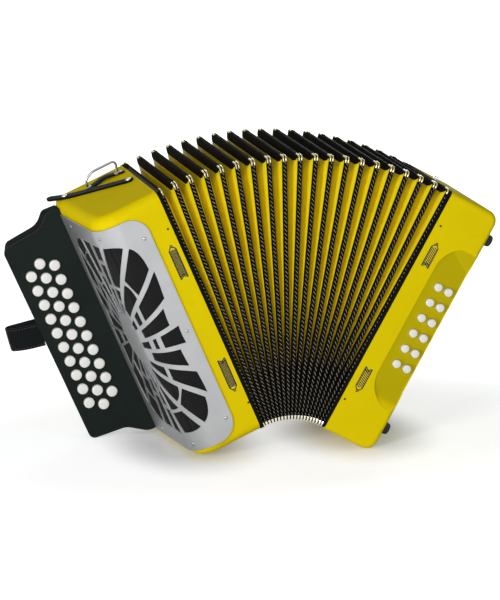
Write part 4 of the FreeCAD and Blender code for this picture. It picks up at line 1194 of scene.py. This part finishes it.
def grille_openings():
    openings = []
    spokes = [ray[0] for ray in RAYS[1:]] + [RAYS[0][0] - 360.0]
    for (spoke, start, end, splits), following in zip(RAYS, spokes):
        first, last = math.radians(spoke), math.radians(following)
        gap = RAY_SPLIT / 2 / (ray_reach((first + last) / 2) - RAY_BOSS)
        lows = [start] + [split + gap for split in splits]
        highs = [split - gap for split in splits] + [end]
        for low, high in zip(lows, highs):
            rim = [ray_spot(partway(first, last, step / RAY_STEPS), high,
                            1 - 2 * step / RAY_STEPS) for step in range(RAY_STEPS + 1)]
            openings.append([ray_spot(first, low, 1)] + rim + [ray_spot(last, low, -1)])
    return openings


def sheet_outline(inset):
    """The flat sheet's outline; its two corners beside the folds are round."""
    radius = GRILLE_CORNER - inset
    low, high = GRILLE_LOW + inset, GRILLE_HIGH - inset
    outline = [(SHEET_RUN - inset, low), (SHEET_RUN - inset, high)]
    for centre, start in ((high - radius, math.pi / 2), (low + radius, math.pi)):
        outline += arc_spots((inset + radius, centre), radius, start, start + math.pi / 2, 12)
    return outline


def inside(spot, outline):
    """Whether a flat spot lies within an outline."""
    found = False
    for (x, y), (other_x, other_y) in zip(outline, outline[1:] + outline[:1]):
        if (y > spot[1]) != (other_y > spot[1]):
            if spot[0] < x + (other_x - x) * (spot[1] - y) / (other_y - y):
                found = not found
    return found


def wrapped_plate(outline, openings, low, high):
    """Points and faces of a pierced sheet between two heights over the casing."""
    spots = []
    edges = []
    for loop in [outline] + openings:
        start = len(spots)
        spots.extend(Vector(spot) for spot in loop)
        edges.extend((start + index, start + (index + 1) % len(loop))
                     for index in range(len(loop)))
    ends = (min(spot.y for spot in spots), max(spot.y for spot in spots))
    for line in range(BEND_LINES + 1):
        run = BEND_START + BEND_RUN * line / BEND_LINES
        edges.append((len(spots), len(spots) + 1))
        spots.extend(Vector((run, end)) for end in ends)
    flat, _, triangles, *_ = delaunay_2d_cdt(spots, edges, [], 0, MERGE_GAP)
    kept = []
    for triangle in triangles:
        middle = sum((flat[index] for index in triangle), Vector((0, 0))) / 3
        if inside(middle, outline) and not any(inside(middle, hole) for hole in openings):
            kept.append(list(triangle))
    count = len(flat)
    points = [on_sheet(spot.x, spot.y, lift)[0] for lift in (high, low) for spot in flat]
    runs = {(face[side], face[(side + 1) % 3]) for face in kept for side in range(3)}
    walls = [[end, start, start + count, end + count]
             for start, end in runs if (end, start) not in runs]
    backs = [[index + count for index in reversed(face)] for face in kept]
    return points, kept + backs + sorted(walls)


def make_grille():
    plate = wrapped_plate(sheet_outline(0.0), grille_openings(), *SHEET_LIFTS)
    add_piece("treble_grille_sheet", [plate], GRILLE, TREBLE, "treble",
              "treble_grille")


def make_grille_backing():
    cloth = wrapped_plate(sheet_outline(CLOTH_INSET), [], *CLOTH_LIFTS)
    backing = add_piece("grille_backing_cloth", [cloth], CLOTH, TREBLE,
                        "treble", "grille_cloth")


def make_grille_screws():
    heads = []
    for run, up in GRILLE_SCREWS:
        spot, normal = on_sheet(run, up, SHEET_LIFTS[1])
        heads += screw_head(spot, normal.to_track_quat("Z", "Y").to_matrix(), 2.3)
    add_piece("grille_screws", heads, BAIL_STEEL, TREBLE, "treble")


# Ornament bands: an outlined field of slanting lines, with a ring at one end of it

BAND_HALF = 4.8
BAND_PITCH = 2.6
BAND_INK = 1.5
BAND_TIP = 3.6
BAND_NOTCH = 3.4
NOTCH_STEP = 2.4
NOTCH_INK = 1.2
RING_RADIUS = 1.4
RING_LAST = math.pi * 1.8
HATCH_INK = 1.3
SHOULDER_HALF = BAND_HALF * 0.35
INK_LIFT = 0.12
INK_SINK = 0.15

# Bands of each end: its frame, their x, the slope of their lines, and each band's low and
# high end with the way that its ring points
BANDS = {"treble": (TREBLE, -11.0, -6.0, ((227.0, 267.0, 1), (70.0, 110.0, -1))),
         "bass": (BASS, 14.0, -2.2, ((241.0, 268.5, 1), (67.5, 95.0, -1)))}


def ink_line(start, finish, width):
    """A flat line of ink on the front face, from (x, z) to (x, z)."""
    first, second = Vector((start[0], 0, start[1])), Vector((finish[0], 0, finish[1]))
    along = (second - first).normalized()
    aside = Vector((along.z, 0, -along.x)) * (width / 2)
    under, over = Y_AXIS * INK_SINK, Y_AXIS * -INK_LIFT
    return skinned([[spot + aside + under, spot - aside + under,
                     spot - aside + over, spot + aside + over] for spot in (first, second)])


def ink_loop(spots, width):
    return [ink_line(here, there, width) for here, there in zip(spots, spots[1:] + spots[:1])]


def hatch(x, low, high, slope):
    """Slanting lines across a band, cut off where they leave its ends."""
    parts = []
    middle = low - abs(slope) + BAND_PITCH
    while middle < high + abs(slope):
        ends = []
        for side in (-1, 1):
            clear = min(max(middle + side * slope, low), high)
            ends.append((x + BAND_HALF * (clear - middle) / slope, clear))
        if math.dist(ends[0], ends[1]) > HATCH_INK:
            parts.append(ink_line(ends[0], ends[1], HATCH_INK))
        middle += BAND_PITCH
    return parts


def ornament_band(x, low, high, tip, slope):
    """Parts of one band: a small ring at the end that tip names, a notch at the other."""
    ring_end, notch_end = (high, low) if tip > 0 else (low, high)
    shoulder = ring_end + tip * BAND_TIP
    notch = notch_end + tip * BAND_NOTCH
    outline = [(x - BAND_HALF, notch_end), (x - BAND_HALF, ring_end),
               (x - SHOULDER_HALF, shoulder), (x + SHOULDER_HALF, shoulder),
               (x + BAND_HALF, ring_end), (x + BAND_HALF, notch_end), (x, notch)]
    parts = hatch(x, min(notch, ring_end), max(notch, ring_end), slope)
    parts += ink_loop(outline, BAND_INK)
    for side in (-1, 1):
        parts.append(ink_line((x + side * BAND_HALF, notch_end + tip * NOTCH_STEP),
                              (x, notch + tip * NOTCH_STEP), NOTCH_INK))
    ring = arc_spots((x, shoulder + tip * RING_RADIUS), RING_RADIUS, 0.0, RING_LAST, 9)
    return parts + ink_loop(ring, HATCH_INK)


def make_ornaments():
    for body, (place, x, slope, spans) in BANDS.items():
        parts = []
        for low, high, tip in spans:
            parts += ornament_band(x, low, high, tip, slope)
        add_piece(body + "_ornament", parts, INK, place, body)


# Finishes of the solids that stay

def dress_solids():
    kept = {
        "treble_casing": CELLULOID, "bass_casing": BASS_CELLULOID_PAINTED_SHADE, "treble_grille": GRILLE,
        "fingerboard": LACQUER, "treble_bellows_frame": BLACK_WOOD,
        "bass_bellows_frame": BLACK_WOOD, "treble_reed_blocks": WOOD,
        "bass_reed_blocks": WOOD,
    }
    for node, material in kept.items():
        solid = frame["nodes"][node]
        solid.data.materials.clear()
        solid.data.materials.append(material)


# Stage, lamps and camera

CAMERA_TARGET = Vector((0.0033, -0.0012, 0.1825))
CAMERA_DISTANCE = 5.3324
CAMERA_AZIMUTH = math.radians(16.15)
CAMERA_ELEVATION = math.radians(13.58)
CAMERA_LENS = 251.27
LAMP_TARGET = Vector((0, 0, 0.2))
WORLD_LIGHT = 0.2

# Each lamp's place and size in metres, its power and its tint
LAMPS = {"key": ((-2.9, -2.6, 1.0), 1.2, 74.0, (1.0, 1.0, 1.0)),
         "fill": ((-1.1, -4.2, 0.9), 1.8, 52.0, (1.0, 1.0, 1.0)),
         "back": ((1.6, 3.4, 1.1), 1.8, 34.0, (0.78, 1.0, 0.94))}

# The floor's own glow near the object and far from it, brighter far off as painted light, and
# how much the painted contact shadow darkens it under the feet
FLOOR_SIZE = 9.0
FLOOR_GLOW = (0.62, 0.9)
PAINTED_CONTACT_SHADOW = 0.8
CONTACT_REACH = (0.12, 0.18)
CONTACT_SETBACK = 90.0


def make_camera():
    data = bpy.data.cameras.new("camera")
    data.lens = CAMERA_LENS
    data.clip_end = 60.0
    camera = new_object("camera", data)
    away = Vector((-math.sin(CAMERA_AZIMUTH) * math.cos(CAMERA_ELEVATION),
                   -math.cos(CAMERA_AZIMUTH) * math.cos(CAMERA_ELEVATION),
                   math.sin(CAMERA_ELEVATION)))
    camera.location = CAMERA_TARGET + away * CAMERA_DISTANCE
    camera.rotation_euler = away.to_track_quat("Z", "Y").to_euler()
    bpy.context.scene.camera = camera


def make_lamp(name, spot, size, power, tint):
    data = bpy.data.lights.new(name, "AREA")
    data.color = tint
    data.shape = "DISK"
    data.size = size
    data.energy = power
    lamp = new_object(name, data)
    lamp.location = spot
    lamp.rotation_euler = (Vector(spot) - LAMP_TARGET).to_track_quat("Z", "Y").to_euler()


def seen_by(start, first, *others):
    """1 for these kinds of ray, 0 for all others."""
    seen = start.node("LightPath", {}, {}, first)
    for kind in others:
        seen = seen.maths("MAXIMUM", start.node("LightPath", {}, {}, kind))
    return seen


def make_world():
    world = bpy.data.worlds.new("studio")
    bpy.context.scene.world = world
    world.use_nodes = True
    tree = world.node_tree
    ground = tree.nodes["Background"]
    ground.inputs["Color"].default_value = grey(1.0)
    seen = seen_by(Socket(tree, None), "Is Camera Ray", "Is Glossy Ray",
                   "Is Transmission Ray")
    strength = partway(WORLD_LIGHT, 1.0, seen)
    tree.links.new(strength.link, ground.inputs["Strength"])


def contact_shadow_mask(spot, foot):
    """Mask of the painted contact shadow: 1 on the floor under a casing's lowest edge, falling
    to 0 round it.
    """
    near = spot.vector_maths("SUBTRACT", (foot.x, foot.y, 0.0))
    reach = near.stretched(1 / CONTACT_REACH[0], 1 / CONTACT_REACH[1], 0.0).length()
    return 1.0 - reach.between(0.25, 1.0)


def make_floor():
    mesh = bpy.data.meshes.new("floor")
    corners = [(x, y, 0) for x in (-FLOOR_SIZE, FLOOR_SIZE)
               for y in (-FLOOR_SIZE, FLOOR_SIZE)]
    mesh.from_pydata(corners, [], [(0, 2, 3, 1)])
    floor = new_object("floor", mesh)
    material, spot = new_finish("floor_paper", roughness=0.9, specular_ior_level=0.0,
                                emission_strength=1.0)
    base = spot.noise(3.0, 2.0).shades(grey(0.86), grey(0.88))
    away = spot.stretched(0.6, 1.0, 1.0).length()
    # Painted light: the glow rises away from the object, whitening the floor's shading and the
    # object's shadow far off
    level = partway(*FLOOR_GLOW, away.between(0.2, 0.42))
    # Painted contact shadow: the glow darkens under each casing's lowest edge
    for place, edge in ((TREBLE, -FRONT_WIDTH), (BASS, BASS_WIDTH)):
        foot = place @ (Vector((edge, CONTACT_SETBACK, 0)) * MM)
        level = level * (1.0 - contact_shadow_mask(spot, foot) * PAINTED_CONTACT_SHADOW)
    seen = seen_by(spot, "Is Camera Ray", "Is Glossy Ray")
    glow = (seen * level).shades(grey(0.0), grey(1.0))
    mesh.materials.append(feed(material, base_color=base, emission_color=glow))


def make_stage():
    bpy.context.scene.view_settings.view_transform = "Standard"
    make_camera()
    make_world()
    make_floor()
    for name, lamp in LAMPS.items():
        make_lamp(name, *lamp)


make_stage()
dress_solids()
make_fold_boards()
make_fold_tapes()
make_corner_caps()
make_buttons()
make_hand_strap()
make_thumb_strap()
make_bellows_strap()
make_bracket()
make_stud()
make_feet()
make_pins()
make_grille()
make_grille_backing()
make_grille_screws()
make_ornaments()
